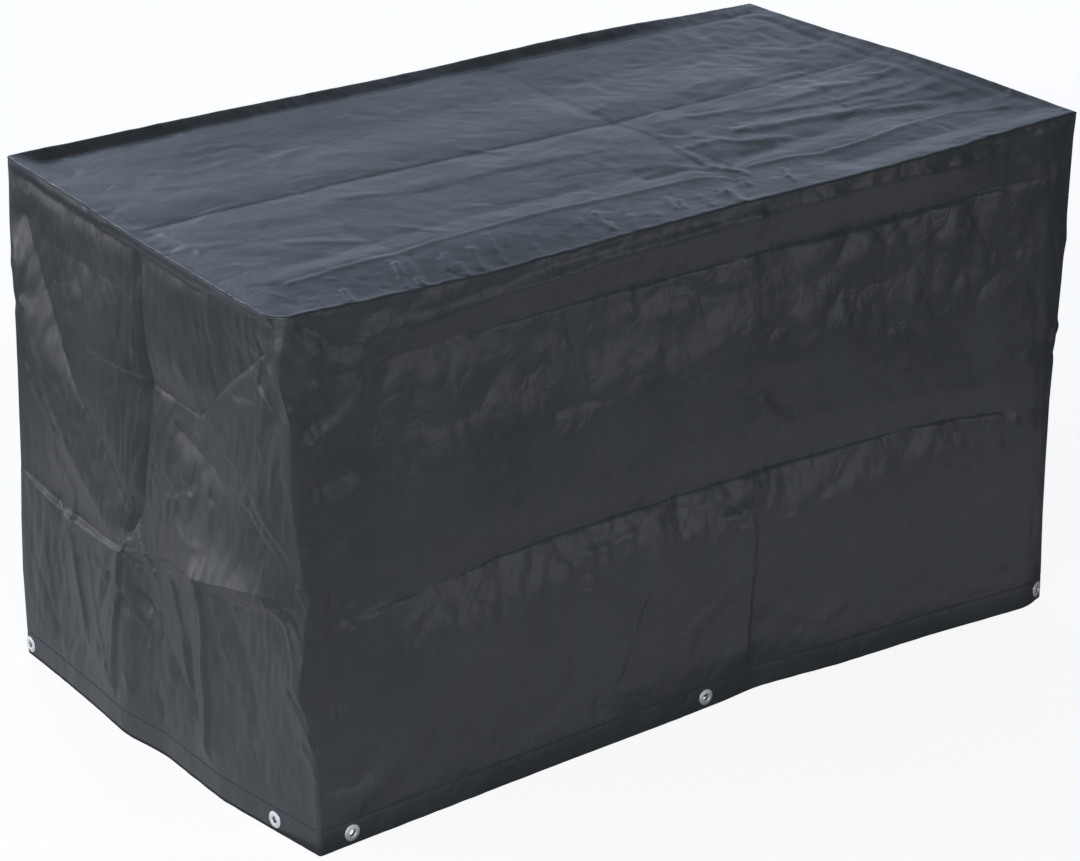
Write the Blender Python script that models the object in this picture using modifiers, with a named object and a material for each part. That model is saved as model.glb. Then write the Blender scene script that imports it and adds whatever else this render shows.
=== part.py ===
"""Fitted box cover for patio furniture, of coated woven sheet.

Five sewn panels hang over a frame of furniture: a top and four walls.
A doubled hem strip runs round the foot and holds ten eyelets.
The cover is hollow and stands on its hem. X runs along the length, the
front faces -Y, and the origin is on the floor under the middle.
"""
import math
from collections import namedtuple

import bmesh
import bpy
from mathutils import Vector

# ---------------------------------------------------------------- sizes, in millimetres
MM = 0.001                  # metres in a millimetre: every size below is in millimetres
LENGTH = 1030.0             # cut length, left corner to right corner
DEPTH = 578.0               # cut depth, front to back
PLATEAU = 592.0             # the flat of the top, where it lies on what it covers
MIDDLE = (510.0, 291.5)     # middle of the box that the cloth fills, from the front left corner

CLOTH = 1.8                 # thickness of a panel with its coating
HEM_THICK = 2.6             # the doubled strip
HEM_UP = 32.0               # height of the strip
SEAM_GAP = 0.6              # left between panels, where the seam's thread lies
TOP_GAP = 1.3               # left under the sloping edge of the top
FLOOR_GAP = 0.4             # between the strip and the wall above it

EYELET_UP = 14.5            # eyelet centre above the floor
FLANGE_R = 9.5              # eyelet's outer radius
BARREL_R = 4.9              # outside of its barrel
BORE_R = 4.3                # the hole through it
STRIP_HOLE_R = 5.4          # hole punched in the strip
EYELET_GAP = 0.3            # between the metal and the strip
EYELET_STEPS = 12

LONG_ENDS = (0.0, 15.0, 40.0, 75.0)         # close columns of the mesh at each end of a long panel
SHORT_ENDS = (0.0, 16.0, 40.0, 70.0, 98.0)  # and of a short one
COLUMN_PITCH = 34.0                         # the rest are about this far apart
LONG_KINK = 605.0                           # a column stands at each hem's sharpest bend
SHORT_KINK = 341.0

# ---------------------------------------------------------------- rings round the cover
# A ring is one level line that runs round all four walls. At each corner it gives the seam's
# place (x, y, up). On each wall it gives three even stations between the corners, as
# (up, inward): inward is how far the cloth lies behind the plain wall, minus where it stands
# proud. "fold" rings are creases, where the slope turns sharply, and "swell" rings are round.
Ring = namedtuple("Ring", "name kind steps fl fr br bl front right back left")
RINGS = (
    Ring("hem line", "swell", 0,
         (20, -7, 32), (1036, 20, 32), (1031, 580, 32), (-2, 589, 32),
         ((32, 0), (32, 0), (32, 0)), ((32, 0), (32, 0), (32, 0)),
         ((32, 0), (32, 0), (32, 0)), ((32, 0), (32, 0), (32, 0))),
    Ring("above the hem", "swell", 2,
         (20, -6, 104), (1034, 20, 108), (1030, 579, 104), (-2, 590, 104),
         ((104, 1), (106, 0), (106, 2)), ((104, -2), (106, 0), (104, 2)),
         ((104, 1), (106, 2), (106, 0)), ((106, 2), (104, -2), (104, 0))),
    Ring("lower swell", "swell", 2,
         (3, -4, 188), (1034, 20, 180), (1027, 581, 184), (-1, 587, 172),
         ((186, -2), (190, -3), (188, -2)), ((184, -4), (186, -3), (182, -2)),
         ((184, -3), (188, -2), (186, -4)), ((186, 5), (176, 1), (164, 0))),
    Ring("lower packing fold", "fold", 2,
         (17, -6, 286), (1034, 19, 252), (1024, 582, 256), (0, 581, 238),
         ((263, 12), (269, 13), (269, 12)), ((258, 9), (262, 11), (260, 9)),
         ((260, 10), (266, 12), (264, 11)), ((262, -11), (236, 2), (216, 9))),
    Ring("over the lower fold", "swell", 2,
         (11, -3, 344), (1033, 14, 322), (1027, 579, 322), (1, 578, 318),
         ((334, 3), (340, 4), (342, 3)), ((328, 2), (332, 3), (330, 2)),
         ((330, 2), (336, 3), (334, 3)), ((338, 3), (322, 4), (302, 2))),
    Ring("middle swell", "swell", 2,
         (6, 0, 420), (1033, 9, 400), (1030, 576, 402), (3, 577, 400),
         ((412, -2), (416, -2), (420, -1)), ((408, -3), (412, -4), (410, -3)),
         ((410, -3), (414, -2), (412, -3)), ((410, 9), (404, 7), (388, -2))),
    Ring("under the upper fold", "swell", 2,
         (8, 1, 478), (1034, 7, 474), (1030, 576, 470), (4, 578, 462),
         ((478, 3), (482, 4), (484, 4)), ((476, 2), (478, 3), (474, 2)),
         ((474, 2), (478, 3), (476, 3)), ((468, 8), (470, 3), (462, 0))),
    Ring("upper packing fold", "fold", 1,
         (-2, 2, 516), (1033, 4, 534), (1029, 577, 528), (4, 578, 524),
         ((523, 13), (525, 15), (528, 13)), ((530, 9), (528, 10), (526, 9)),
         ((524, 12), (526, 13), (526, 12)), ((518, 7), (526, 6), (526, 5))),
    Ring("foot of the top band", "swell", 1,
         (-9, 2, 558), (1033, 3, 574), (1028, 578, 566), (5, 577, 568),
         ((560, 3), (567, 3), (575, 2)), ((570, 4), (568, 4), (566, 4)),
         ((566, 3), (570, 3), (568, 3)), ((560, 6), (562, 6), (566, 5))),
    Ring("top seam", "swell", 1,
         (-8, 2, 591), (1034, 1, 603), (1028, 578, 593), (5, 577, 599),
         ((586, 0), (592, 0), (594, 0)), ((604, 0), (602, 0), (596, 0)),
         ((599, 0), (597, 0), (600, 0)), ((590, 0), (592, 0), (596, 0))),
)

# ---------------------------------------------------------------- what each wall has of its own
# Hem: (along, inward) on the floor, straight between its points.
# Fold: a crease over the panel, from (along, up) to (along, up). deep is how far it lies in,
# minus where it is a ridge, and near and far are its reach to its two sides, the near side
# being the one to the right of its direction.
Fold = namedtuple("Fold", "name points deep near far")
Wall = namedtuple("Wall", "name starts ends reach hem folds eyelets")
WALLS = (
    Wall("front", "fl", "fr", (70.0, 36.0),
         ((20, -7), (160, 2), (320, 12), (480, 20), (570, 26), (617, 32), (660, 29),
          (730, 22), (860, 18), (1000, 8), (1010, 9), (1036, 20)),
         (Fold("long upright", ((588, 560), (588, 420), (594, 270), (596, 40)), -3.0, 90, 60),
          Fold("left upright", ((176, 500), (182, 400), (190, 240), (186, 40)), -2.5, 80, 60),
          Fold("beside the near corner", ((44, 480), (48, 330), (50, 170)), 5.0, 34, 60),
          Fold("rising from the hem", ((60, 40), (124, 85), (160, 130)), -4.0, 50, 60)),
         (61.0, 541.0, 1024.0)),
    Wall("right", "fr", "br", (60.0, 60.0),
         ((20, -6), (150, 4), (290, 10), (360, 7), (470, 2), (580, -1)),
         (Fold("right upright", ((290, 560), (284, 420), (290, 260), (300, 40)), -4.0, 80, 70),
          Fold("right slant", ((70, 540), (130, 430), (240, 290)), -6.0, 50, 90)),
         (74.0, 530.0)),
    Wall("back", "bl", "br", (60.0, 60.0),
         ((-2, -11), (140, 0), (300, 8), (430, 14), (560, 17), (700, 13), (860, 4), (1031, -2)),
         (Fold("back upright", ((440, 560), (436, 400), (442, 260), (438, 40)), -3.0, 80, 70),
          Fold("back slant", ((900, 540), (820, 440), (720, 290)), -5.0, 80, 60)),
         (48.0, 515.0, 982.0)),
    Wall("left", "fl", "bl", (60.0, 60.0),
         ((-7, 20), (72, 10), (155, 0), (281, 1), (345, -10), (415, -6), (500, -3), (589, -2)),
         (Fold("left upright", ((284, 565), (296, 410), (308, 290), (330, 240)), 9.0, 34, 80),
          Fold("long slant", ((545, 540), (520, 495), (465, 411), (415, 358), (335, 272)), -11.0, 70, 60),
          Fold("v down", ((290, 427), (192, 420)), 10.0, 60, 60),
          Fold("v up", ((192, 420), (126, 480), (40, 545)), 11.0, 60, 60),
          Fold("near slant", ((225, 396), (140, 374), (80, 355), (40, 325)), 6.0, 40, 40),
          Fold("lower near upright", ((166, 255), (172, 150), (178, 40)), -6.0, 60, 60),
          Fold("lower far upright", ((338, 215), (350, 120), (352, 40)), -9.0, 60, 80),
          Fold("lower slant", ((312, 185), (263, 133), (200, 80)), 5.0, 40, 40)),
         (65.0, 577.0)),
)

# ---------------------------------------------------------------- the top
# Border: how far in from each seam the flat of the top begins.
FOLD_FADE = 40.0            # creases over a panel ease off this near its seams
BORDER = {"front": 96.0, "right": 32.0, "back": 34.0, "left": 44.0}
# Folds over the top run from (x, y) to (x, y), and deep is down.
TOP_FOLDS = (
    Fold("long middle", ((10, 300), (250, 310), (500, 302), (780, 308), (1020, 322)), 3.0, 60, 46),
    Fold("cross middle", ((632, 100), (620, 220), (618, 400), (622, 545)), 2.0, 60, 60),
    Fold("cross left", ((194, 96), (188, 170), (216, 314), (262, 505)), 1.6, 50, 50),
    Fold("front edge", ((60, 92), (330, 106), (600, 100), (800, 96), (1000, 90)), -3.0, 40, 50),
    Fold("back edge", ((60, 556), (300, 552), (640, 556), (1000, 543)), -1.5, 40, 24),
)

# ---------------------------------------------------------------- finishes
CLOTH_FINISH = ("coated woven sheet", (0.040, 0.047, 0.056), 0.46, 0.0)
EYELET_FINISH = ("pressed aluminium", (0.76, 0.77, 0.77), 0.28, 1.0)


# ---------------------------------------------------------------- reading the tables
def read_line(points, place):
    """Second value of a table of (place, value) rows, straight between its rows."""
    for (a, value_a), (b, value_b) in zip(points, points[1:]):
        if place <= b:
            break
    share = (place - a) / (b - a)
    return value_a + (value_b - value_a) * min(max(share, 0.0), 1.0)


def read_curve(values, share):
    """A smooth curve through evenly spaced values, read at a share from 0 to 1."""
    spans = len(values) - 1
    i = min(int(share * spans), spans - 1)
    t = share * spans - i
    before = values[max(i - 1, 0)]
    a, b = values[i], values[i + 1]
    after = values[min(i + 2, spans)]
    bend = (b - before) * t + (2 * before - 5 * a + 4 * b - after) * t * t
    return a + 0.5 * (bend + (3 * a - before - 3 * b + after) * t ** 3)


def fold_depth(fold, along, up):
    """How far a fold pushes the cloth in at a place, full on its line and easing off beside it."""
    best = 0.0
    for (a0, u0), (a1, u1) in zip(fold.points, fold.points[1:]):
        run = (a1 - a0, u1 - u0)
        square = run[0] ** 2 + run[1] ** 2
        t = ((along - a0) * run[0] + (up - u0) * run[1]) / square
        t = min(max(t, 0.0), 1.0)
        off = (along - a0 - t * run[0], up - u0 - t * run[1])
        reach = fold.near if run[0] * off[1] - run[1] * off[0] < 0 else fold.far
        best = max(best, 1.0 - math.hypot(*off) / reach)
    return fold.deep * best * best


def ease(kind_a, kind_b, t):
    """Way from one ring to the next: steep at a fold, level at a swell."""
    if kind_a == "fold" and kind_b == "fold":
        return t
    if kind_a == "fold":
        return 1.0 - (1.0 - t) ** 2
    if kind_b == "fold":
        return t * t
    return t * t * (3.0 - 2.0 * t)


def columns(length, ends, kink):
    """Shares from 0 to 1 of a panel's mesh columns: close at its ends, one on the hem's kink."""
    inner = ends[-1]
    count = round((length - 2 * inner) / COLUMN_PITCH)
    middle = [inner + (length - 2 * inner) * k / count for k in range(1, count)]
    nearest = min(range(len(middle)), key=lambda k: abs(middle[k] - kink))
    middle[nearest] = kink
    right = [length - d for d in reversed(ends)]
    return [place / length for place in (*ends, *middle, *right)]


LONG_SHARES = columns(LENGTH, LONG_ENDS, LONG_KINK)
SHORT_SHARES = columns(DEPTH, SHORT_ENDS, SHORT_KINK)


# ---------------------------------------------------------------- the shape of a wall
def in_plan(side, along, inward, up):
    """A place on a wall, as (along, inward, up), in the cover's own metres."""
    x, y = {"front": (along, inward), "back": (along, DEPTH - inward),
            "left": (inward, along), "right": (LENGTH - inward, along)}[side]
    return Vector(((x - MIDDLE[0]) * MM, (y - MIDDLE[1]) * MM, up * MM))


def on_wall(side, corner):
    """A corner's (x, y, up) as (along, inward, up) on a wall."""
    x, y, up = corner
    return {"front": (x, y, up), "back": (x, DEPTH - y, up),
            "left": (y, x, up), "right": (y, LENGTH - x, up)}[side]


def ring_steps():
    """The mesh rows of a wall: (ring below, ring above, share of the way) for each."""
    rows = [(RINGS[0], RINGS[0], 0.0)]
    for below, above in zip(RINGS, RINGS[1:]):
        rows += [(below, above, k / above.steps) for k in range(1, above.steps + 1)]
    return rows


def wall_place(wall, share, row):
    """(along, inward, up) of a wall at a share of its length and a mesh row."""
    below, above, t = row
    levels = []
    for ring in (below, above):
        start = on_wall(wall.name, getattr(ring, wall.starts))
        end = on_wall(wall.name, getattr(ring, wall.ends))
        stations = getattr(ring, wall.name)
        ups = (start[2], *(station[0] for station in stations), end[2])
        ins = (0.0, *(station[1] for station in stations), 0.0)
        levels.append((start, end, read_curve(ups, share), read_curve(ins, share)))
    (start_a, end_a, up_a, in_a), (start_b, end_b, up_b, in_b) = levels
    start = [a + (b - a) * t for a, b in zip(start_a, start_b)]
    end = [a + (b - a) * t for a, b in zip(end_a, end_b)]
    up = up_a + (up_b - up_a) * t
    swing = in_a + (in_b - in_a) * ease(below.kind, above.kind, t)
    along = start[0] + (end[0] - start[0]) * share

    seam_start = on_wall(wall.name, getattr(RINGS[-1], wall.starts))
    seam_end = on_wall(wall.name, getattr(RINGS[-1], wall.ends))
    height = (up - HEM_UP) / (seam_start[2] - HEM_UP)

    def plain(place, along_share):
        seam = seam_start[1] + (seam_end[1] - seam_start[1]) * along_share
        return read_line(wall.hem, place) * (1.0 - height) + seam * height

    inward = plain(along, share) + swing
    for corner, distance, reach, at in ((start, along - start[0], wall.reach[0], 0.0),
                                        (end, end[0] - along, wall.reach[1], 1.0)):
        pull = max(1.0 - distance / reach, 0.0)
        inward += (corner[1] - plain(corner[0], at)) * pull
    fade = min(share, 1.0 - share) * (end[0] - start[0]) / FOLD_FADE
    fade *= min((up - HEM_UP) / HEM_UP, (seam_start[2] - up) / HEM_UP)
    fade = min(max(fade, 0.0), 1.0)
    for fold in wall.folds:
        inward += fade * fold_depth(fold, along, up)
    return along, inward, up


def seam_place(side, share):
    """A place on the top seam, as (x, y, up)."""
    wall = next(w for w in WALLS if w.name == side)
    along, inward, up = wall_place(wall, share, (RINGS[-2], RINGS[-1], 1.0))
    return {"front": (along, inward, up), "back": (along, DEPTH - inward, up),
            "left": (inward, along, up), "right": (LENGTH - inward, along, up)}[side]


def top_place(share_x, share_y):
    """A place on the top panel, in metres: its seams as edges, flat inside its borders."""
    front, back = seam_place("front", share_x), seam_place("back", share_x)
    left, right = seam_place("left", share_y), seam_place("right", share_y)
    x = left[0] + (right[0] - left[0]) * share_x
    y = front[1] + (back[1] - front[1]) * share_y
    width, depth = right[0] - left[0], back[1] - front[1]
    pull = {}
    for side, distance in (("left", share_x * width), ("right", (1 - share_x) * width),
                           ("front", share_y * depth), ("back", (1 - share_y) * depth)):
        t = min(distance / BORDER[side], 1.0)
        pull[side] = 1.0 - t * t * (3.0 - 2.0 * t)
    up = PLATEAU
    for side, place in (("left", left), ("right", right), ("front", front), ("back", back)):
        up += (place[2] - PLATEAU) * pull[side]
    for long_side, short_side in (("front", "left"), ("front", "right"), ("back", "left"), ("back", "right")):
        corner = seam_place(long_side, 0.0 if short_side == "left" else 1.0)
        up -= (corner[2] - PLATEAU) * pull[long_side] * pull[short_side]
    inside = min(share_x * width, (1 - share_x) * width, share_y * depth, (1 - share_y) * depth)
    fade = min(inside / FOLD_FADE, 1.0)
    for fold in TOP_FOLDS:
        up -= fade * fold_depth(fold, x, y)
    return Vector(((x - MIDDLE[0]) * MM, (y - MIDDLE[1]) * MM, up * MM))


# ---------------------------------------------------------------- building
def clear_scene():
    for thing in list(bpy.data.objects):
        bpy.data.objects.remove(thing, do_unlink=True)


def make_collection(name):
    made = bpy.data.collections.new(name)
    bpy.context.scene.collection.children.link(made)
    return made


def make_material(label, finish):
    kind, colour, roughness, metallic = finish
    material = bpy.data.materials.new(f"{label} {kind}")
    material.use_nodes = True
    shader = material.node_tree.nodes["Principled BSDF"]
    shader.inputs["Base Color"].default_value = (*colour, 1.0)
    shader.inputs["Roughness"].default_value = roughness
    shader.inputs["Metallic"].default_value = metallic
    return material


def sheet(name, across, upwards, place, thick, collection, flip=False):
    """A sheet of cloth: a grid laid on its surface by place(i, j), then given its thickness."""
    shape = bmesh.new()
    bmesh.ops.create_grid(shape, x_segments=across, y_segments=upwards, size=0.5)
    for vertex in shape.verts:
        i = round((vertex.co.x + 0.5) * across)
        j = round((vertex.co.y + 0.5) * upwards)
        vertex.co = place(i, j)
    if flip:
        bmesh.ops.reverse_faces(shape, faces=shape.faces)
    mesh = bpy.data.meshes.new(name)
    shape.to_mesh(mesh)
    shape.free()
    piece = bpy.data.objects.new(name, mesh)
    collection.objects.link(piece)
    mesh.materials.append(make_material(name, CLOTH_FINISH))
    solid = piece.modifiers.new("thickness", "SOLIDIFY")
    solid.thickness = thick * MM
    solid.offset = -1.0
    return piece


def make_wall(wall, collection):
    """One wall panel, short of the pieces that it meets by the seam's gap."""
    long_wall = wall.name in ("front", "back")
    shares = LONG_SHARES if long_wall else SHORT_SHARES
    rows = ring_steps()

    def place(i, j):
        along, inward, up = wall_place(wall, shares[i], rows[j])
        if not long_wall:
            butt = CLOTH + SEAM_GAP
            along += butt if i == 0 else -butt if i == len(shares) - 1 else 0.0
        if j == 0:
            up += FLOOR_GAP
        if j == len(rows) - 1:
            up -= CLOTH + TOP_GAP
        return in_plan(wall.name, along, inward, up)

    return sheet(f"wall_{wall.name}", len(shares) - 1, len(rows) - 1, place, CLOTH,
                 collection, flip=wall.name in ("back", "left"))


def make_top(collection):
    def place(i, j):
        return top_place(LONG_SHARES[i], SHORT_SHARES[j])

    return sheet("top_panel", len(LONG_SHARES) - 1, len(SHORT_SHARES) - 1, place, CLOTH, collection)


def hem_ends(wall):
    """Where a hem strip starts and stops: the long ones cover the ends of the short ones."""
    butt = 0.0 if wall.name in ("front", "back") else HEM_THICK + SEAM_GAP
    return wall.hem[0][0] + butt, wall.hem[-1][0] - butt


def make_hem(wall, collection):
    """The doubled strip at a wall's foot, upright and level on the floor."""
    start, end = hem_ends(wall)
    stations = [start, *(along for along, _ in wall.hem[1:-1]), end]

    def place(i, j):
        return in_plan(wall.name, stations[i], read_line(wall.hem, stations[i]), j * HEM_UP)

    return sheet(f"hem_{wall.name}", len(stations) - 1, 1, place, HEM_THICK,
                 collection, flip=wall.name in ("back", "left"))


def eyelet_seat(wall, along):
    """Centre of an eyelet on the strip's outer face, and the direction that it faces."""
    centre = in_plan(wall.name, along, read_line(wall.hem, along), EYELET_UP)
    side = in_plan(wall.name, along + 1.0, read_line(wall.hem, along + 1.0), EYELET_UP) - centre
    outward = side.cross(Vector((0, 0, 1)))
    if wall.name in ("back", "left"):
        outward.negate()
    return centre, outward.normalized()


def punch(strip, centre, outward, cutters):
    """Cut an eyelet's hole through a strip."""
    shape = bmesh.new()
    bmesh.ops.create_cone(shape, cap_ends=True, segments=24, radius1=STRIP_HOLE_R * MM,
                          radius2=STRIP_HOLE_R * MM, depth=6 * HEM_THICK * MM)
    mesh = bpy.data.meshes.new("punch")
    shape.to_mesh(mesh)
    shape.free()
    cutter = bpy.data.objects.new("punch", mesh)
    cutters.objects.link(cutter)
    cutter.hide_render = True
    cutter.display_type = "WIRE"
    cutter.location = centre
    cutter.rotation_euler = outward.to_track_quat("Z", "Y").to_euler()
    cut = strip.modifiers.new("eyelet hole", "BOOLEAN")
    cut.operation = "DIFFERENCE"
    cut.solver = "EXACT"
    cut.object = cutter


def eyelet_profile():
    """Section of an eyelet, (radius, out) from the strip's face: flange, barrel, back flange."""
    front = EYELET_GAP
    back = -HEM_THICK - EYELET_GAP
    return ((BORE_R, 0.9), (5.6, 1.5), (8.2, 1.2), (FLANGE_R, 0.6), (9.2, front),
            (BARREL_R, front), (BARREL_R, back), (8.6, back), (8.6, back - 0.6), (BORE_R, back - 0.9))


def make_eyelet(name, centre, outward, collection):
    """A turned metal ring, clamped on the strip with its barrel through the hole."""
    points = [Vector((radius * MM, 0.0, out * MM)) for radius, out in eyelet_profile()]
    shape = bmesh.new()
    corners = [shape.verts.new(point) for point in points]
    for a, b in zip(corners, corners[1:] + corners[:1]):
        shape.edges.new((a, b))
    mesh = bpy.data.meshes.new(name)
    shape.to_mesh(mesh)
    shape.free()
    ring = bpy.data.objects.new(name, mesh)
    collection.objects.link(ring)
    mesh.materials.append(make_material(name, EYELET_FINISH))
    turn = ring.modifiers.new("turned", "SCREW")
    turn.axis = "Z"
    turn.angle = math.tau
    turn.steps = EYELET_STEPS
    turn.render_steps = EYELET_STEPS
    turn.use_merge_vertices = True
    turn.merge_threshold = 0.00005
    turn.use_smooth_shade = True
    ring.location = centre
    ring.rotation_euler = outward.to_track_quat("Z", "Y").to_euler()
    return ring


def build():
    clear_scene()
    cover = make_collection("patio_furniture_cover")
    cutters = make_collection("cutters")
    make_top(cover)
    count = 0
    for wall in WALLS:
        make_wall(wall, cover)
        strip = make_hem(wall, cover)
        for along in wall.eyelets:
            count += 1
            centre, outward = eyelet_seat(wall, along)
            punch(strip, centre, outward, cutters)
            make_eyelet(f"eyelet_{count:02d}", centre, outward, cover)


build()
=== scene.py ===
# %% [markdown]
# # A fitted cover for patio furniture
#
# The real cover is five panels of woven plastic sheet, coated on both faces and sewn into a box:
# a top and four walls. A doubled hem strip runs round its foot and holds ten pressed eyelets.
# It was folded flat in its packet, so sharp fold lines cross every panel.
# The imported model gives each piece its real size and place. This lesson dresses it: it makes finer
# sheets on the same folds, gives them their finish, and lights them.

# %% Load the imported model
import math
from collections import namedtuple

import bmesh
import bpy
import numpy as np
from mathutils import Matrix, Vector


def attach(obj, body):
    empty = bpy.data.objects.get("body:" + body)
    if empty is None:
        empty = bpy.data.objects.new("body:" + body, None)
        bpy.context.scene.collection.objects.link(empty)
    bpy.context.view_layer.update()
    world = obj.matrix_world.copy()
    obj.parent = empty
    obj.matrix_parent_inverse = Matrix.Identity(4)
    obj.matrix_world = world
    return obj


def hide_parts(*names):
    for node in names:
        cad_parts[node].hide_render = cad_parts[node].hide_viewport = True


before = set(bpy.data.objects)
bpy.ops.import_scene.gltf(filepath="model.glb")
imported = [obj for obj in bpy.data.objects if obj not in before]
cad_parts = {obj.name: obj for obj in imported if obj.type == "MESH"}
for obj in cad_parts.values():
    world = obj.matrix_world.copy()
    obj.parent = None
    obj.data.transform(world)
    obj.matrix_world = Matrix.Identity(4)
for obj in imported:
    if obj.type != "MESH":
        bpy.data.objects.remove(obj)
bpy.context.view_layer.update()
MM = 0.001  # metres in a millimetre: sizes of the cloth are in millimetres, and the scene is in metres

# %% [markdown]
# ## The camera
#
# A camera can be placed by eye, by a Track To constraint, or by the angles at which it looks.
# Angles are used here: how far it is turned round the cover, how high it stands above the
# horizon, and a slight roll. A long lens gives the flat perspective of a catalogue picture.

# %% Camera
LENS_MM = 120.0
SENSOR_MM = 36.0
CAMERA_TURN = -35.07    # degrees round the cover from straight in front
CAMERA_RISE = 22.99     # degrees above the horizon
CAMERA_ROLL = -0.312    # degrees
CAMERA_AWAY = 4.05      # metres from the point that it looks at
AIM = Vector((-0.0110, -0.0120, 0.2566))


def add_object(name, data):
    """A new object of the scene, which shows the data."""
    thing = bpy.data.objects.new(name, data)
    bpy.context.scene.collection.objects.link(thing)
    return thing


turn, rise, roll = (math.radians(angle) for angle in (CAMERA_TURN, CAMERA_RISE, CAMERA_ROLL))
back = Vector((math.sin(turn) * math.cos(rise), -math.cos(turn) * math.cos(rise), math.sin(rise)))
level = Vector((math.cos(turn), math.sin(turn), 0.0))
right = (Matrix.Rotation(roll, 3, back) @ level).normalized()
camera = add_object("camera", bpy.data.cameras.new("camera"))
camera.data.lens = LENS_MM
camera.data.sensor_width = SENSOR_MM
camera.matrix_world = Matrix((right, back.cross(right), back)).transposed().to_4x4()
camera.location = AIM + back * CAMERA_AWAY
bpy.context.scene.camera = camera
print("camera at", [round(c, 3) for c in camera.location])


# %% [markdown]
# ## Colours and nodes
#
# Colours are chosen as sRGB hex values, as in a paint program, but Blender's shaders work in
# linear light, so one function turns one into the other. Another small function adds a node,
# sets its values and links its inputs, which keeps each material short enough to read. An input
# takes a value, a socket, or a whole node, which stands for that node's first output.

# %% Colour and node helpers
def hex_colour(code):
    """An sRGB hex colour as the linear colour that a shader takes."""
    parts = [int(code[i:i + 2], 16) / 255.0 for i in (1, 3, 5)]
    return [c / 12.92 if c <= 0.04045 else ((c + 0.055) / 1.055) ** 2.4 for c in parts] + [1.0]


def set_inputs(tree, node, **inputs):
    """Give each named input of a node a value or a link. _0 is its first input, and so on."""
    for name, value in inputs.items():
        socket = node.inputs[int(name[1:]) if name[1:].isdigit() else name.replace("_", " ")]
        if isinstance(value, bpy.types.Node):
            value = value.outputs[0]
        if isinstance(value, bpy.types.NodeSocket):
            tree.links.new(value, socket)
        else:
            socket.default_value = value


def add_node(tree, kind, settings=None, **inputs):
    """Add a node to a material or a world, set its properties, and set its inputs."""
    node = tree.nodes.new("ShaderNode" + kind)
    for name, value in (settings or {}).items():
        setattr(node, name, value)
    set_inputs(tree, node, **inputs)
    return node


def new_material(name, **inputs):
    """A new material, its node tree and its shader, with some of the shader's inputs set."""
    material = bpy.data.materials.new(name)
    material.use_nodes = True
    tree = material.node_tree
    shader = tree.nodes["Principled BSDF"]
    set_inputs(tree, shader, **inputs)
    return material, tree, shader


# %% [markdown]
# ## Floor and light
#
# A semi-gloss dark sheet shows its shape mostly by what it reflects. At this angle the top mirrors
# the far background, so pale cards and a window stand behind the cover for it to mirror. The left
# wall gets a card, a fill and a key of its own, and the front gets a key and a low card.
# Two faint glows at the floor stand in for the light that a pale floor throws up on the walls.
# The floor itself is a pale lit sheet that the cover neither mirrors nor gathers light from. Under the
# cover its glow is switched off, which paints shade there, dark as the eyelets' holes show.

# %% Floor
WHITE = "#FFFFFF"
FLOOR_HALF = 30.0                       # metres from its middle to its edge
FLOOR_GLOW = 0.86
# painted shade: the floor does not glow inside this rectangle under the cover
PAINTED_SHADE_HALF = {"X": 0.47, "Y": 0.245}    # the dark part under the cover, from its middle to its edge


def mesh_object(name, shape):
    """A new object of the scene with the shape as its mesh. The shape itself is used up."""
    mesh = bpy.data.meshes.new(name)
    shape.to_mesh(mesh)
    shape.free()
    return add_object(name, mesh)


def make_floor():
    shape = bmesh.new()
    bmesh.ops.create_grid(shape, x_segments=1, y_segments=1, size=FLOOR_HALF)
    floor = mesh_object("floor", shape)
    material, tree, shader = new_material("pale floor", Base_Color=hex_colour("#8A8B8C"), Roughness=0.8,
                                          Specular_IOR_Level=0.1, Emission_Color=hex_colour(WHITE))
    place = add_node(tree, "TexCoord").outputs["Object"]
    apart = add_node(tree, "SeparateXYZ", _0=place)
    past = []
    # painted shade: the glow is off inside the rectangle under the cover, so the floor is dark there
    for axis, half in PAINTED_SHADE_HALF.items():
        far = add_node(tree, "Math", {"operation": "ABSOLUTE"}, _0=apart.outputs[axis])
        past.append(add_node(tree, "Math", {"operation": "GREATER_THAN"}, _0=far, _1=half))
    outside = add_node(tree, "Math", {"operation": "MAXIMUM"}, _0=past[0], _1=past[1])
    glow = add_node(tree, "Math", {"operation": "MULTIPLY"}, _0=outside, _1=FLOOR_GLOW)
    set_inputs(tree, shader, Emission_Strength=glow)
    floor.data.materials.append(material)
    floor.visible_glossy = False
    floor.visible_diffuse = False


make_floor()
print("floor of", 2 * FLOOR_HALF, "metres, lit outside", [2 * half for half in PAINTED_SHADE_HALF.values()])


# %% Room and lamps
TOP_MIDDLE = (0.0, 0.0, 0.6)
SKY, DAYLIGHT = "#C9DBF3", "#F4F6FF"


def make_room(colour, strength):
    """A dim room round the cover, and a white background that only the camera sees."""
    world = bpy.data.worlds.new("studio")
    world.use_nodes = True
    tree = world.node_tree
    seen = add_node(tree, "LightPath").outputs["Is Camera Ray"]
    dim = add_node(tree, "Background", Color=hex_colour(colour), Strength=strength)
    pale = add_node(tree, "Background", Color=hex_colour(WHITE), Strength=1.0)
    mixed = add_node(tree, "MixShader", _0=seen, _1=dim, _2=pale)
    set_inputs(tree, tree.nodes["World Output"], Surface=mixed)
    bpy.context.scene.world = world


def make_lamp(name, place, aim, size, brightness, colour):
    """A soft lamp: a rectangle of (width, height) metres that faces aim. Brightness is its radiance."""
    lamp = bpy.data.lights.new(name, "AREA")
    lamp.shape = "RECTANGLE"
    lamp.size, lamp.size_y = size
    lamp.energy = brightness * math.pi * size[0] * size[1]
    lamp.color = hex_colour(colour)[:3]
    thing = add_object(name, lamp)
    thing.location = place
    thing.rotation_euler = (Vector(aim) - Vector(place)).to_track_quat("-Z", "Y").to_euler()
    thing.visible_camera = False


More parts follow.
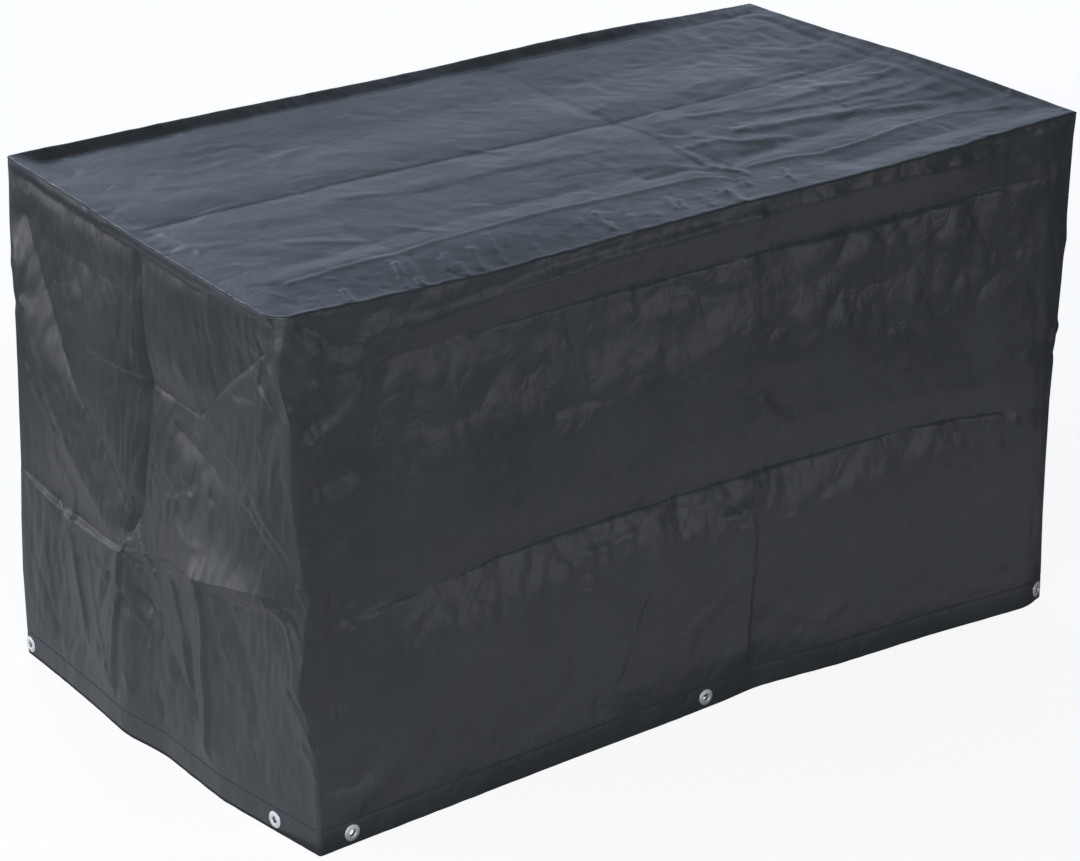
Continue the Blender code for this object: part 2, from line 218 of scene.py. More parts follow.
make_room("#DDE3EB", 0.10)
make_lamp("far card", (2.4, 2.3, 1.7), TOP_MIDDLE, (4.4, 3.2), 0.24, SKY)
make_lamp("far middle card", (2.5, 2.3, 1.20), TOP_MIDDLE, (4.4, 1.9), 0.66, SKY)
make_lamp("far high card", (1.9, 2.7, 3.4), TOP_MIDDLE, (4.4, 1.9), 0.50, SKY)
make_lamp("far low strip", (2.0, 2.9, 0.72), TOP_MIDDLE, (4.2, 0.34), 0.9, "#D8E6F8")
make_lamp("far window", (3.0, 11.5, 5.6), TOP_MIDDLE, (2.0, 3.0), 9.0, "#CFE0F8")
make_lamp("left card", (-2.4, 2.3, 0.50), (-0.5, 0.0, 0.30), (3.0, 1.0), 2.8, DAYLIGHT)
make_lamp("left fill", (-3.0, -0.2, 0.9), (-0.5, 0.0, 0.25), (2.4, 1.8), 1.4, DAYLIGHT)
make_lamp("left key", (-1.9, 2.2, 1.7), (-0.4, 0.0, 0.3), (1.4, 1.4), 1.2, DAYLIGHT)
make_lamp("left floor glow", (-0.72, 0.25, 0.004), (-0.72, 0.25, 1.0), (0.44, 1.3), 0.48, DAYLIGHT)
make_lamp("front key", (-1.6, -2.1, 1.3), (-0.1, -0.25, 0.25), (2.0, 2.0), 3.0, "#F6F8FF")
make_lamp("front low card", (1.0, -2.9, 0.22), (-0.1, -0.3, 0.2), (2.0, 0.44), 2.4, WHITE)
make_lamp("front floor glow", (0.20, -0.57, 0.004), (0.20, -0.57, 1.0), (1.6, 0.50), 0.29, WHITE)
bpy.context.scene.view_settings.view_transform = "Standard"
print(len(bpy.data.lights), "lamps")

# %% [markdown]
# ## Where the cloth lies
#
# A cloth simulation would drape a sheet well, but not with these folds in these places. The folds
# are known, so they are written down: a ring is one level line round all four walls, and it says
# how far the cloth lies in or out there. Between rings the cloth turns sharply at a "fold", rolls
# at a "swell" and runs straight to a "ridge". Two walls share a corner, so they always meet.

# %% Sizes of the cut cover, in millimetres
LENGTH = 1030.0             # left corner to right corner
DEPTH = 578.0               # front to back
PLATEAU = 592.0             # the flat of the top
MIDDLE = (510.0, 291.5)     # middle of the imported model's box, from the front left corner
CLOTH = 1.8                 # thickness of a panel with its coating
HEM_THICK = 2.6             # the doubled strip
HEM_UP = 32.0               # height of the strip
FOLD_FADE = 24.0            # creases ease off this near a corner seam
LONG = ("front", "back")    # the walls that run along the length
REVERSED = ("back", "left")  # the walls whose rows run leftwards, seen from outside

# %% Rings round the cover
# At each corner: the seam's (x, y, up). On each wall: (up, inward) at evenly spaced stations.
Ring = namedtuple("Ring", "name kind fl fr br bl front right back left")
RINGS = (
    Ring("hem line", "swell",
         (20, -7, 32), (1036, 20, 32), (1031, 580, 32), (-2, 589, 32),
         ((32, 0), (32, 0), (32, 0)), ((32, 0), (32, 0), (32, 0)),
         ((32, 0), (32, 0), (32, 0)), ((32, 0), (32, 0), (32, 0))),
    Ring("above the hem", "swell",
         (20, -6, 104), (1034, 20, 108), (1030, 579, 104), (-2, 590, 104),
         ((104, 1), (106, 0), (106, 2)), ((104, -2), (106, 0), (104, 2)),
         ((104, 1), (106, 2), (106, 0)), ((106, 2), (104, -2), (104, 0))),
    Ring("lower swell", "swell",
         (3, -4, 188), (1034, 20, 180), (1027, 581, 184), (-1, 587, 172),
         ((186, -2), (190, -3), (188, -2)), ((184, -4), (186, -3), (182, -2)),
         ((184, -3), (188, -2), (186, -4)), ((200, 0), (186, 1), (170, 0))),
    Ring("lower packing fold", "fold",
         (17, -6, 286), (1034, 19, 252), (1024, 582, 256), (0, 581, 238),
         ((255, 9), (265, 13), (268, 13), (269, 13), (268, 13), (269, 12), (264, 8)),
         ((258, 9), (262, 11), (260, 9)),
         ((260, 10), (266, 12), (264, 11)), ((262, -11), (236, 2), (216, 9))),
    Ring("over the lower fold", "swell",
         (11, -3, 344), (1033, 14, 322), (1027, 579, 322), (1, 578, 318),
         ((334, 3), (340, 4), (342, 3)), ((328, 2), (332, 3), (330, 2)),
         ((330, 2), (336, 3), (334, 3)), ((338, 3), (322, 4), (302, 2))),
    Ring("middle swell", "swell",
         (6, 0, 420), (1033, 9, 400), (1030, 576, 402), (3, 577, 400),
         ((412, 2), (416, 2), (420, 2)), ((408, -3), (412, -4), (410, -3)),
         ((410, -3), (414, -2), (412, -3)), ((410, 5), (404, 3), (388, -2))),
    Ring("under the upper fold", "swell",
         (8, 1, 478), (1034, 7, 474), (1030, 576, 470), (4, 578, 462),
         ((478, 8), (482, 10), (484, 8)), ((476, 2), (478, 3), (474, 2)),
         ((474, 2), (478, 3), (476, 3)), ((468, 2), (470, 0), (462, 0))),
    Ring("upper packing fold", "fold",
         (-2, 2, 516), (1033, 4, 534), (1029, 577, 528), (4, 578, 524),
         ((523, 13), (525, 17), (528, 17)), ((530, 9), (528, 10), (526, 9)),
         ((524, 12), (526, 13), (526, 12)), ((518, 3), (526, 2), (526, 2))),
    Ring("foot of the top band", "ridge",
         (-9, 2, 558), (1033, 3, 574), (1028, 578, 566), (5, 577, 568),
         ((560, 1), (567, 0), (575, 0)), ((570, 3), (568, 3), (566, 3)),
         ((566, 2), (570, 2), (568, 2)), ((560, 2), (562, 2), (566, 1))),
    Ring("top seam", "swell",
         (-8, 2, 591), (1034, 1, 603), (1028, 578, 593), (5, 577, 599),
         ((586, 0), (592, 0), (594, 0)), ((604, 0), (602, 0), (596, 0)),
         ((599, 0), (597, 0), (600, 0)), ((590, 0), (592, 0), (596, 0))),
)
print(len(RINGS), "rings, of which", sum(ring.kind == "fold" for ring in RINGS), "are sharp folds")

# %% [markdown]
# ## Creases of one wall
#
# A crease is a line over a panel with a depth: in for a trough, out for a ridge. Its two sides have
# their own reach, because a creased sheet is steep on one side of a line and slack on the other.
# They are placed one by one, so that the walls are as uneven as real ones.

# %% Creases of the front wall
# Each row is a crease: its depth (below 0 for a ridge), its reach to the right of the line's
# direction and to its left, and then the points of its line as (along, up).
FRONT_FOLDS = (
    (-3.6, 90, 60, (590, 525), (588, 420), (594, 270), (599, 40)),
    (-2.5, 80, 60, (176, 500), (182, 400), (190, 240), (186, 40)),
    (5.0, 34, 60, (44, 480), (48, 330), (50, 170)),
    (-4.0, 50, 60, (60, 40), (124, 85), (160, 130)),
    # the band under the top seam, and the crisp lip of the upper packing fold
    (-3.0, 34, 12, (112, 550), (195, 550), (279, 560), (420, 570), (585, 576)),
    (-1.6, 34, 16, (612, 576), (760, 577), (870, 574)),
    (2.4, 24, 30, (880, 600), (940, 580), (1000, 548)),
    (-1.4, 16, 4, (250, 520), (343, 521), (456, 519), (580, 525)),
    (-1.4, 16, 4, (592, 524), (676, 521), (800, 522), (930, 529)),
    (-2.0, 26, 26, (84, 470), (92, 520), (120, 560)),
    (3.0, 16, 22, (30, 578), (60, 548), (112, 540)),
    (-2.2, 12, 16, (416, 572), (424, 540), (430, 500)),
    # the crisp lip of the lower packing fold, and the wedge above it
    (-1.6, 22, 4, (50, 244), (144, 252), (280, 263), (405, 265), (496, 267), (585, 266)),
    (-2.0, 26, 4, (603, 265), (684, 265), (813, 267), (950, 257)),
    (-2.6, 20, 26, (597, 335), (608, 354), (634, 324)),
    (-1.8, 46, 50, (634, 322), (700, 320), (830, 306), (960, 290)),
    # small creases round the crossings
    (-2.7, 26, 7, (505, 99), (536, 121), (564, 138), (596, 157)),
    (-2.4, 16, 6, (533, 182), (547, 195), (563, 206), (594, 211)),
    (-2.1, 5, 18, (541, 196), (559, 216), (584, 226)),
    (-2.2, 4, 14, (523, 146), (538, 159), (551, 163)),
    (-2.5, 16, 5, (460, 194), (445, 160), (436, 135), (415, 81)),
    (-2.2, 34, 6, (598, 215), (599, 128), (599, 34)),
    (-2.1, 4, 12, (559, 227), (600, 227)),
    (-2.0, 4, 12, (617, 199), (636, 201), (657, 200)),
    (-1.8, 5, 14, (604, 196), (620, 216), (635, 240)),
    (-1.8, 5, 12, (584, 228), (609, 246)),
    (-1.5, 4, 9, (369, 237), (399, 238), (436, 243)),
    (-2.0, 10, 4, (399, 238), (399, 219)),
    (-1.4, 5, 20, (652, 85), (703, 59), (732, 71)),
    (-1.5, 5, 20, (661, 119), (700, 128), (726, 160)),
    (-1.4, 22, 5, (380, 240), (380, 157), (379, 40)),
    (-2.0, 5, 20, (405, 112), (420, 146), (452, 165), (512, 181)),
    (1.4, 4, 14, (328, 409), (363, 412), (397, 408)),
    (1.8, 6, 24, (156, 418), (139, 392), (127, 356)),
    (-3.0, 16, 18, (34, 452), (64, 470), (80, 505), (92, 545)),
    (-1.5, 5, 16, (893, 150), (896, 60)),
    (-1.5, 6, 20, (966, 246), (960, 120)),
    (1.0, 14, 12, (986, 500), (990, 420), (1003, 260), (1014, 60)),
    (0.5, 14, 8, (594, 500), (600, 540), (600, 560)),
    (1.0, 12, 8, (560, 552), (600, 541), (640, 556)),
    (1.2, 60, 50, (700, 470), (790, 440), (850, 452)),
    (-1.2, 70, 60, (330, 330), (420, 372), (500, 360)),
)
print(len(FRONT_FOLDS), "creases on the front")

# %% Creases of the left wall
UPRIGHT = ((284, 565), (296, 410), (308, 291), (332, 244))
SLANT = ((545, 540), (520, 495), (465, 411), (415, 358), (335, 272))
LEFT_FOLDS = (
    (3.0, 30, 80, *UPRIGHT),
    (4.8, 5, 18, *UPRIGHT),
    # the long slant is a trough along a swell, and the v a trough with broad flat sides
    (-5.5, 56, 60, (575, 480), (515, 372), (450, 296), (385, 248)),
    (4.5, 95, 40, *SLANT),
    (1.2, 5, 8, *SLANT),
    (14.0, 105, 140, (290, 427), (192, 424), (126, 483), (51, 540), (18, 560)),
    (1.2, 6, 5, (282, 428), (192, 424), (126, 483), (51, 540)),
    (2.0, 5, 26, (225, 396), (140, 374), (80, 355), (40, 325)),
    (-3.0, 50, 60, (166, 255), (172, 150), (178, 40)),
    (-5.0, 5, 34, (168, 245), (174, 150), (177, 36)),
    (-5.0, 50, 80, (338, 215), (350, 120), (352, 40)),
    (4.2, 26, 6, (340, 212), (350, 120), (362, 38)),
    (3.0, 40, 60, (320, 200), (263, 133), (200, 80)),
    # under the seam, and the lips of the packing fold
    (1.8, 16, 8, (40, 574), (150, 575), (300, 577), (420, 579), (545, 584)),
    (-2.6, 5, 40, (579, 232), (533, 219), (488, 210), (419, 211), (345, 217)),
    (-2.6, 60, 6, (332, 222), (286, 235), (231, 253), (143, 261), (89, 260), (44, 268)),
    (1.2, 14, 6, (320, 214), (270, 224), (231, 240), (143, 248), (89, 247), (50, 252)),
    # creases between the v and the fold
    (-1.2, 24, 5, (194, 424), (155, 408), (115, 397), (77, 381), (48, 357), (20, 335)),
    (-2.0, 5, 30, (160, 339), (154, 303), (153, 262)),
    (-2.0, 5, 20, (60, 540), (64, 500), (46, 486)),
    (1.4, 4, 14, (290, 340), (240, 326), (196, 350)),
    (-1.4, 4, 14, (270, 306), (232, 318), (204, 332)),
    # creases below the fold
    (0.9, 5, 16, (438, 175), (391, 176), (360, 150)),
    (2.6, 4, 18, (388, 191), (356, 176), (300, 134)),
    (3.6, 4, 18, (311, 182), (275, 152), (230, 111), (195, 77)),
    (3.0, 6, 30, (492, 212), (496, 130), (502, 60)),
    (-1.4, 5, 26, (422, 186), (410, 142), (394, 104), (372, 62)),
    (-2.4, 4, 22, (460, 200), (446, 140), (430, 90)),
    (-1.2, 5, 20, (104, 86), (50, 104), (22, 118)),
    (-2.7, 5, 20, (240, 220), (222, 170), (214, 110)),
    (2.7, 6, 26, (120, 240), (96, 180), (88, 130)),
    # facets at the far side
    (2.6, 8, 40, (546, 430), (518, 340), (480, 300), (442, 268)),
    (-1.8, 4, 16, (546, 364), (518, 330), (480, 300), (442, 271)),
    (-2.4, 12, 20, (560, 500), (552, 452), (540, 400)),
)
print(len(LEFT_FOLDS), "creases on the left wall")

# %% Creases of the two hidden walls
RIGHT_FOLDS = (
    (-4.0, 80, 70, (290, 560), (284, 420), (290, 260), (300, 40)),
    (-6.0, 50, 90, (70, 540), (130, 430), (240, 290)),
    (-4.0, 60, 60, (560, 500), (470, 420), (420, 280)),
    (-3.0, 40, 50, (150, 250), (158, 140), (150, 40)),
    (-3.0, 50, 40, (430, 240), (440, 150), (436, 40)),
    (-1.8, 40, 8, (60, 262), (180, 256), (290, 258), (420, 254), (520, 250)),
    (3.0, 20, 30, (330, 200), (380, 130), (430, 90)),
)
BACK_FOLDS = (
    (-3.0, 80, 70, (440, 560), (436, 400), (442, 260), (438, 40)),
    (-5.0, 80, 60, (900, 540), (820, 440), (720, 290)),
    (-4.0, 60, 80, (120, 540), (190, 440), (300, 300)),
    (-2.6, 60, 50, (840, 240), (846, 140), (842, 40)),
    (-1.6, 30, 8, (150, 516), (300, 517), (480, 518), (700, 518), (900, 519)),
    (-2.0, 40, 8, (60, 254), (230, 256), (430, 260), (640, 258), (960, 252)),
    (2.0, 30, 40, (520, 380), (600, 350), (700, 372)),
)
print(len(RIGHT_FOLDS) + len(BACK_FOLDS), "creases on the hidden walls")

# %% What each wall has of its own
# starts and ends are its corners, and reach is how far from each it swings into the seam. hem is
# the line of its foot as (along, inward), and eyelets are the places of their middles along it.
Wall = namedtuple("Wall", "name starts ends reach hem folds eyelets")
WALLS = (
    Wall("front", "fl", "fr", (70.0, 36.0),
         ((20, -7), (160, 2), (320, 12), (480, 20), (570, 26), (617, 32), (660, 29),
          (730, 22), (860, 18), (1000, 8), (1010, 9), (1036, 20)),
         FRONT_FOLDS, (61.0, 541.0, 1024.0)),
    Wall("right", "fr", "br", (60.0, 60.0),
         ((20, -6), (150, 4), (290, 10), (360, 7), (470, 2), (580, -1)),
         RIGHT_FOLDS, (74.0, 530.0)),
    Wall("back", "bl", "br", (60.0, 60.0),
         ((-2, -11), (140, 0), (300, 8), (430, 14), (560, 17), (700, 13), (860, 4), (1031, -2)),
         BACK_FOLDS, (48.0, 515.0, 982.0)),
    Wall("left", "fl", "bl", (60.0, 60.0),
         ((-7, 20), (72, 10), (155, 0), (281, 1), (345, -10), (415, -6), (500, -3), (589, -2)),
         LEFT_FOLDS, (65.0, 577.0)),
)
print(sum(len(wall.eyelets) for wall in WALLS), "eyelets in", len(WALLS), "walls")

# %% Creases of the top
BORDER = {"front": 88.0, "right": 70.0, "back": 25.0, "left": 44.0}  # seam to the flat of the top
TOP_FOLDS = (
    (2.0, 60, 46, (10, 300), (250, 310), (500, 302), (780, 308), (1020, 322)),
    (1.0, 60, 60, (632, 100), (620, 220), (618, 400), (622, 545)),
    (0.9, 50, 50, (194, 96), (188, 170), (216, 314), (262, 505)),
    (-0.8, 30, 40, (60, 92), (330, 106), (600, 100), (800, 96), (1000, 90)),
    # the dip of the back border, and the crisp lines on the broad folds
    (2.4, 12, 22, (30, 557), (300, 555), (640, 558), (1000, 546)),
    (2.0, 105, 95, (190, 448), (480, 440), (760, 452), (1000, 446)),
    (-0.8, 8, 6, (57, 77), (119, 84), (185, 86), (276, 94), (373, 99), (447, 98), (507, 96), (554, 96),
     (588, 89), (603, 72)),
    (-1.2, 9, 6, (645, 92), (671, 91), (706, 88), (731, 79), (754, 83), (789, 84), (870, 98),
     (943, 102), (997, 80)),
    (1.0, 26, 24, (80, 122), (300, 136), (560, 140)),
    (2.4, 26, 30, (610, 128), (700, 132), (860, 144), (990, 126)),
    (2.6, 40, 34, (740, 50), (860, 56), (1000, 46)),
    (0.6, 16, 4, (30, 301), (250, 310), (500, 302), (780, 308), (1000, 320)),
    (-1.7, 7, 20, (624, 216), (615, 169), (612, 130), (614, 103)),
    (-1.8, 5, 8, (618, 99), (626, 84), (625, 74)),
    (2.0, 12, 8, (531, 127), (577, 126), (608, 103)),
    (-1.8, 8, 20, (631, 180), (672, 180), (691, 159), (737, 148)),
    (1.8, 14, 10, (623, 104), (668, 130), (705, 133)),
    (-0.9, 6, 14, (119, 176), (184, 137)),
    (-0.9, 6, 12, (231, 154), (260, 114)),
    (0.8, 5, 24, (632, 112), (622, 220), (618, 300)),
    (0.5, 5, 24, (618, 330), (620, 440), (624, 540)),
    (0.5, 5, 20, (194, 100), (188, 170), (216, 314)),
    (0.3, 20, 5, (216, 330), (240, 420), (262, 505)),
    # streaks along the right half, and the creased left border
    (-2.2, 10, 28, (720, 190), (800, 182), (870, 166), (930, 150)),
    (-2.0, 8, 26, (760, 232), (850, 214), (960, 216)),
    (1.8, 18, 8, (820, 160), (900, 170), (985, 150)),
    (-1.6, 6, 18, (860, 196), (930, 186), (985, 192)),
    (-1.4, 8, 28, (700, 262), (790, 246), (880, 256)),
    (-1.2, 6, 20, (880, 262), (930, 250), (990, 262)),
    (-0.9, 6, 28, (240, 262), (313, 236), (420, 238), (544, 227)),
    (-0.6, 12, 9, (44, 90), (36, 200), (30, 300), (34, 420), (40, 540)),
    (1.0, 8, 12, (1006, 120), (1004, 300), (1000, 520)),
)
print(len(TOP_FOLDS), "creases on the top")


# %% [markdown]
# ## Reading the tables
#
# The cloth has tens of thousands of points, so the functions work on whole arrays of points at once
# with numpy, which is a hundred times faster than a loop over vertices.

# %% Read lines, curves and creases
STIFF = (-12.0, -6.0, 0.0, 6.0, 12.0)  # the stretch over which the stiff cloth rounds a bend
CREASE_ROUND = 1.0          # radius to which the sheet can be creased
CREASE_FLAT = 1.45          # 1 gives flat facets beside a crease, and 2 gives slack ones


def ramp(distance, reach):
    """0 at no distance, rising evenly to 1 at the reach."""
    return np.clip(distance / reach, 0.0, 1.0)


def smooth(t):
    """The way from 0 to 1 with a soft start and end."""
    return t * t * (3.0 - 2.0 * t)


def read_line(points, place):
    """Second value of a table of (place, value) rows, with its bends rounded."""
    table = np.array(points, float)
    return sum(np.interp(place + s, table[:, 0], table[:, 1]) for s in STIFF) / len(STIFF)


def read_curve(values, share):
    """A smooth curve through evenly spaced values, read at shares from 0 to 1."""
    values = np.array(values, float)
    spans = len(values) - 1
    i = np.minimum((share * spans).astype(int), spans - 1)
    t = share * spans - i
    before, a = values[np.maximum(i - 1, 0)], values[i]
    b, after = values[i + 1], values[np.minimum(i + 2, spans)]
    bend = (b - before) * t + (2 * before - 5 * a + 4 * b - after) * t * t
    return a + 0.5 * (bend + (3 * a - before - 3 * b + after) * t ** 3)


def fold_depth(fold, along, up):
    """How far a crease pushes the cloth in: full on its line, easing off beside it."""
    deep, near, far, *points = fold
    best = 0.0
    for (a0, u0), (a1, u1) in zip(points, points[1:]):
        run_a, run_u = a1 - a0, u1 - u0
        t = ramp((along - a0) * run_a + (up - u0) * run_u, run_a ** 2 + run_u ** 2)
        off_a, off_u = along - a0 - t * run_a, up - u0 - t * run_u
        reach = np.where(run_a * off_u - run_u * off_a < 0.0, near, far)
        away = np.sqrt(off_a ** 2 + off_u ** 2 + CREASE_ROUND ** 2) - CREASE_ROUND
        best = np.maximum(best, 1.0 - away / reach)
    return deep * best ** CREASE_FLAT


# %% [markdown]
# ## Small unevenness
#
# Between its folds the sheet is never flat. Rolling noise gives broad, soft humps. Folding that
# noise over, so that it has sharp crests and round bowls, gives the look of a stiff coated sheet
# that was crumpled and pulled out again. Short seeded creases do the rest.

# %% Noise and scattered creases
NOISE_CELLS = 256   # humps after which the noise repeats
NOISE_START = 64.0  # keeps its places above 0


def soft_noise(along, up, size, seed):
    """Rolling noise from about -1 to 1. size is the distance between humps, the same at every run."""
    turns = np.random.default_rng(seed).uniform(0.0, math.tau, (NOISE_CELLS, NOISE_CELLS))
    a, b = along / size + NOISE_START, up / size + NOISE_START
    i, j = np.floor(a).astype(int), np.floor(b).astype(int)
    a, b = a - i, b - j

    def corner(di, dj):
        angle = turns[(i + di) % NOISE_CELLS, (j + dj) % NOISE_CELLS]
        return np.cos(angle) * (a - di) + np.sin(angle) * (b - dj)

    fade_a, fade_b = smooth(a), smooth(b)
    low = corner(0, 0) * (1.0 - fade_a) + corner(1, 0) * fade_a
    high = corner(0, 1) * (1.0 - fade_a) + corner(1, 1) * fade_a
    return 1.5 * (low * (1.0 - fade_b) + high * fade_b)


def crumple(along, up, size, seed):
    """Noise with sharp crests, from about -1 in its bowls to 1 on its crests."""
    bend = 0.35 * size * soft_noise(along, up, size * 1.7, seed + 1)
    return 1.0 - 2.6 * np.abs(soft_noise(along + bend, up - bend, size, seed))


Scatter = namedtuple("Scatter", "seed count box lean spread length deep reach")


def scattered(scatter, along, up):
    """Depth of count short creases in a box (along from, to, up from, to). lean is their angle."""
    draw = np.random.default_rng(scatter.seed)
    depth = np.zeros_like(along)
    for _ in range(scatter.count):
        a0 = draw.uniform(*scatter.box[:2])
        u0 = draw.uniform(*scatter.box[2:])
        angle = math.radians(draw.normal(scatter.lean, scatter.spread))
        half = 0.5 * draw.uniform(*scatter.length)
        deep = draw.uniform(-1.0, 1.0) * scatter.deep
        reach = draw.uniform(*scatter.reach)
        along_line = (along - a0) * math.cos(angle) + (up - u0) * math.sin(angle)
        beside = (up - u0) * math.cos(angle) - (along - a0) * math.sin(angle)
        taper = np.clip(1.0 - (along_line / half) ** 2, 0.0, 1.0)
        away = np.sqrt(beside ** 2 + CREASE_ROUND ** 2) - CREASE_ROUND
        depth += deep * taper * (1.0 - ramp(away, reach)) ** 2
    return depth


# %% [markdown]
# ## The shape of a wall
#
# Each row of a wall's mesh lies between two rings. Its points run from one corner seam to the next.
# The corners of a sewn box are round, so the last few millimetres of each wall turn by 45 degrees
# and meet the neighbour's in a mitre. That takes close columns at the ends, and wide ones between.

# %% Rows and columns of a wall's mesh
PITCH = {"front": 3.9, "left": 3.0, "back": 5.4, "right": 5.4}  # between the mesh lines of a wall
HEM_PITCH = 3.6
SEAM_PITCH = 2.4                # between the rows of the band under the top seam
EDGE = (0.0, 0.9, 2.0, 3.4, 5.2, 7.4, 10.0, 13.0, 16.4)         # close lines beside a seam
BUSY = {"front": ((16, 60), (575, 615)), "left": ((16, 60), (280, 345))}  # parts with more columns
BUSY_EASE = 12.0                # beside a busy part
FIRST_ROW = 0.014               # share of the way up to the second ring


def mesh_lines(length, pitch, busy=()):
    """Distances from 0 to length: close at both ends and in the busy (from, to) parts."""
    step = 0.5
    place = np.arange(EDGE[-1], length - EDGE[-1], step)
    density = np.full(len(place), 1.0)
    for low, high in busy:
        density += 1.0 - ramp(np.maximum(low - place, place - high), BUSY_EASE)
    density = np.concatenate([[0.0], np.cumsum(density[1:])])
    count = round(density[-1] * step / pitch)
    middle = np.interp(np.arange(1, count) * density[-1] / count, density, place)
    return np.array([*EDGE, *middle, *(length - d for d in reversed(EDGE))])


def wall_lines(side, pitch):
    """Mesh columns of a wall."""
    return mesh_lines(LENGTH if side in LONG else DEPTH, pitch, BUSY.get(side, ()))


def wall_rows(pitch):
    """Mesh rows of a wall, from the hem up: (ring below, ring above, share of the way)."""
    rows = [(RINGS[0], RINGS[0], 0.0), (RINGS[0], RINGS[1], FIRST_ROW)]
    for below, above in zip(RINGS, RINGS[1:]):
        gap = above.fr[2] - below.fr[2]
        steps = math.ceil(gap / (SEAM_PITCH if above is RINGS[-1] else pitch))
        power = 1.5 if below.kind == "fold" else 1.0
        for k in range(1, steps + 1):
            t = k / steps
            rows.append((below, above, 1.0 - (1.0 - t) ** 1.5 if above.kind == "fold" else t ** power))
    return rows


def ease(kind_a, kind_b, t):
    """Way from one ring to the next: steep at a fold, level at a swell, straight at a ridge."""
    if "ridge" in (kind_a, kind_b):
        return t
    if kind_a == "fold":
        return 1.0 - (1.0 - t) ** 2
    return t * t if kind_b == "fold" else smooth(t)


# %% From a wall to the plan of the cover
def on_wall(side, corner):
    """A corner's (x, y, up) as (along, inward, up) on a wall."""
    x, y, up = corner
    return {"front": (x, y, up), "back": (x, DEPTH - y, up),
            "left": (y, x, up), "right": (y, LENGTH - x, up)}[side]


def in_plan(side, along, inward, up):
    """A place on a wall as (x, y, up), in millimetres from the front left corner."""
    x, y = {"front": (along, inward), "back": (along, DEPTH - inward),
            "left": (inward, along), "right": (LENGTH - inward, along)}[side]
    return np.stack(np.broadcast_arrays(x, y, up), axis=-1)


def corner_place(name, below, above, t):
    """A corner seam's (x, y, up) between two rings."""
    return tuple(a + (b - a) * t for a, b in zip(getattr(below, name), getattr(above, name)))


def wall_row(wall, distances, row):
    """(along, inward, up) along one row of a wall, before its creases."""
    below, above, t = row
    start = on_wall(wall.name, corner_place(wall.starts, below, above, t))
    end = on_wall(wall.name, corner_place(wall.ends, below, above, t))
    share = distances / distances[-1]
    span = end[0] - start[0]
    levels = []
    for ring in (below, above):
        stations = getattr(ring, wall.name)
        first = on_wall(wall.name, getattr(ring, wall.starts))
        last = on_wall(wall.name, getattr(ring, wall.ends))
        levels.append((read_curve([first[2], *(s[0] for s in stations), last[2]], share),
                       read_curve([0.0, *(s[1] for s in stations), 0.0], share)))
    (up_a, in_a), (up_b, in_b) = levels
    up = up_a + (up_b - up_a) * t
    swing = in_a + (in_b - in_a) * ease(below.kind, above.kind, t)
    along = start[0] + span * share

    seam_start = on_wall(wall.name, getattr(RINGS[-1], wall.starts))
    seam_end = on_wall(wall.name, getattr(RINGS[-1], wall.ends))
    height = (up - HEM_UP) / (seam_start[2] - HEM_UP)
    seam = seam_start[1] + (seam_end[1] - seam_start[1]) * share
    plain = read_line(wall.hem, along) * (1.0 - height) + seam * height
    inward = plain + swing
    for corner, from_corner, reach, at in ((start, span * share, wall.reach[0], 0),
                                           (end, span * (1.0 - share), wall.reach[1], -1)):
        inward = inward + (corner[1] - plain[at]) * (1.0 - ramp(from_corner, reach))
    return along, inward, up

# %% [markdown]
# ## Round corners
#
# A corner's own creases run over both of its walls, so they are measured by the way round from the
# corner seam: negative on the short wall and positive on the long one. Both walls read the same
# creases, so they still meet.

# %% Corners
SEAM_ROUND = {"fl": (26.0, 4.0), "fr": (3.0, 4.0), "br": (6.0, 5.0), "bl": (8.0, 5.0)}
ROUND_EASE = 70.0   # height over which the radius at the top, the first, goes over into the second
# Each row is a crease as above, but its points are (way round, up).
CORNER_FOLDS = {
    "fl": ((3.2, 4, 15, (-26, 262), (-9, 238), (12, 188)),
           (-2.0, 6, 12, (-54, 268), (-28, 256), (-14, 214), (-10, 180)),
           (2.6, 5, 8, (2, 247), (26, 242)),
           (-2.8, 6, 9, (-10, 300), (10, 262), (26, 241)),
           (1.8, 5, 7, (26, 240), (9, 224)),
           (0.7, 6, 10, (-118, 472), (-64, 483), (-28, 490), (6, 500)),
           (-0.6, 10, 6, (-70, 540), (-40, 520), (-12, 508)),
           (2.6, 5, 12, (-24, 178), (-8, 160), (6, 122)),
           (-1.8, 8, 8, (-16, 120), (-2, 90))),
    "fr": ((1.6, 8, 12, (-22, 334), (8, 306)),
           (-2.2, 8, 8, (-16, 356), (10, 338)),
           (-1.8, 16, 20, (-18, 470), (12, 440))),
    "br": ((2.2, 14, 14, (-24, 304), (14, 288)),
           (-2.2, 14, 14, (-20, 150), (16, 166))),
    "bl": ((1.4, 10, 14, (-34, 452), (-8, 434), (10, 424)),
           (-1.0, 12, 14, (-30, 486), (8, 474))),
}


def round_ends(wall, distances, along, inward, up):
    """Turn both ends of a row by 45 degrees, so that two walls meet in a round, mitred corner."""
    from_end = distances[-1] - distances
    way = 1.0 if wall.name in LONG else -1.0
    for name, away, sign in ((wall.starts, distances, 1.0), (wall.ends, from_end, -1.0)):
        at_top, below = SEAM_ROUND[name]
        radius = at_top + (below - at_top) * smooth(ramp(RINGS[-1].fl[2] - up, ROUND_EASE))
        angle = math.pi / 4 * (1.0 - ramp(away, radius))
        depth = sum(fold_depth(fold, way * away, up) for fold in CORNER_FOLDS[name])
        along = along + sign * np.where(away < radius, radius * (1.0 - np.sin(angle)) - away, 0.0)
        along = along + sign * depth * np.sin(angle)
        inward = inward + radius * (1.0 - np.cos(angle)) + depth * np.cos(angle)
    return along, inward
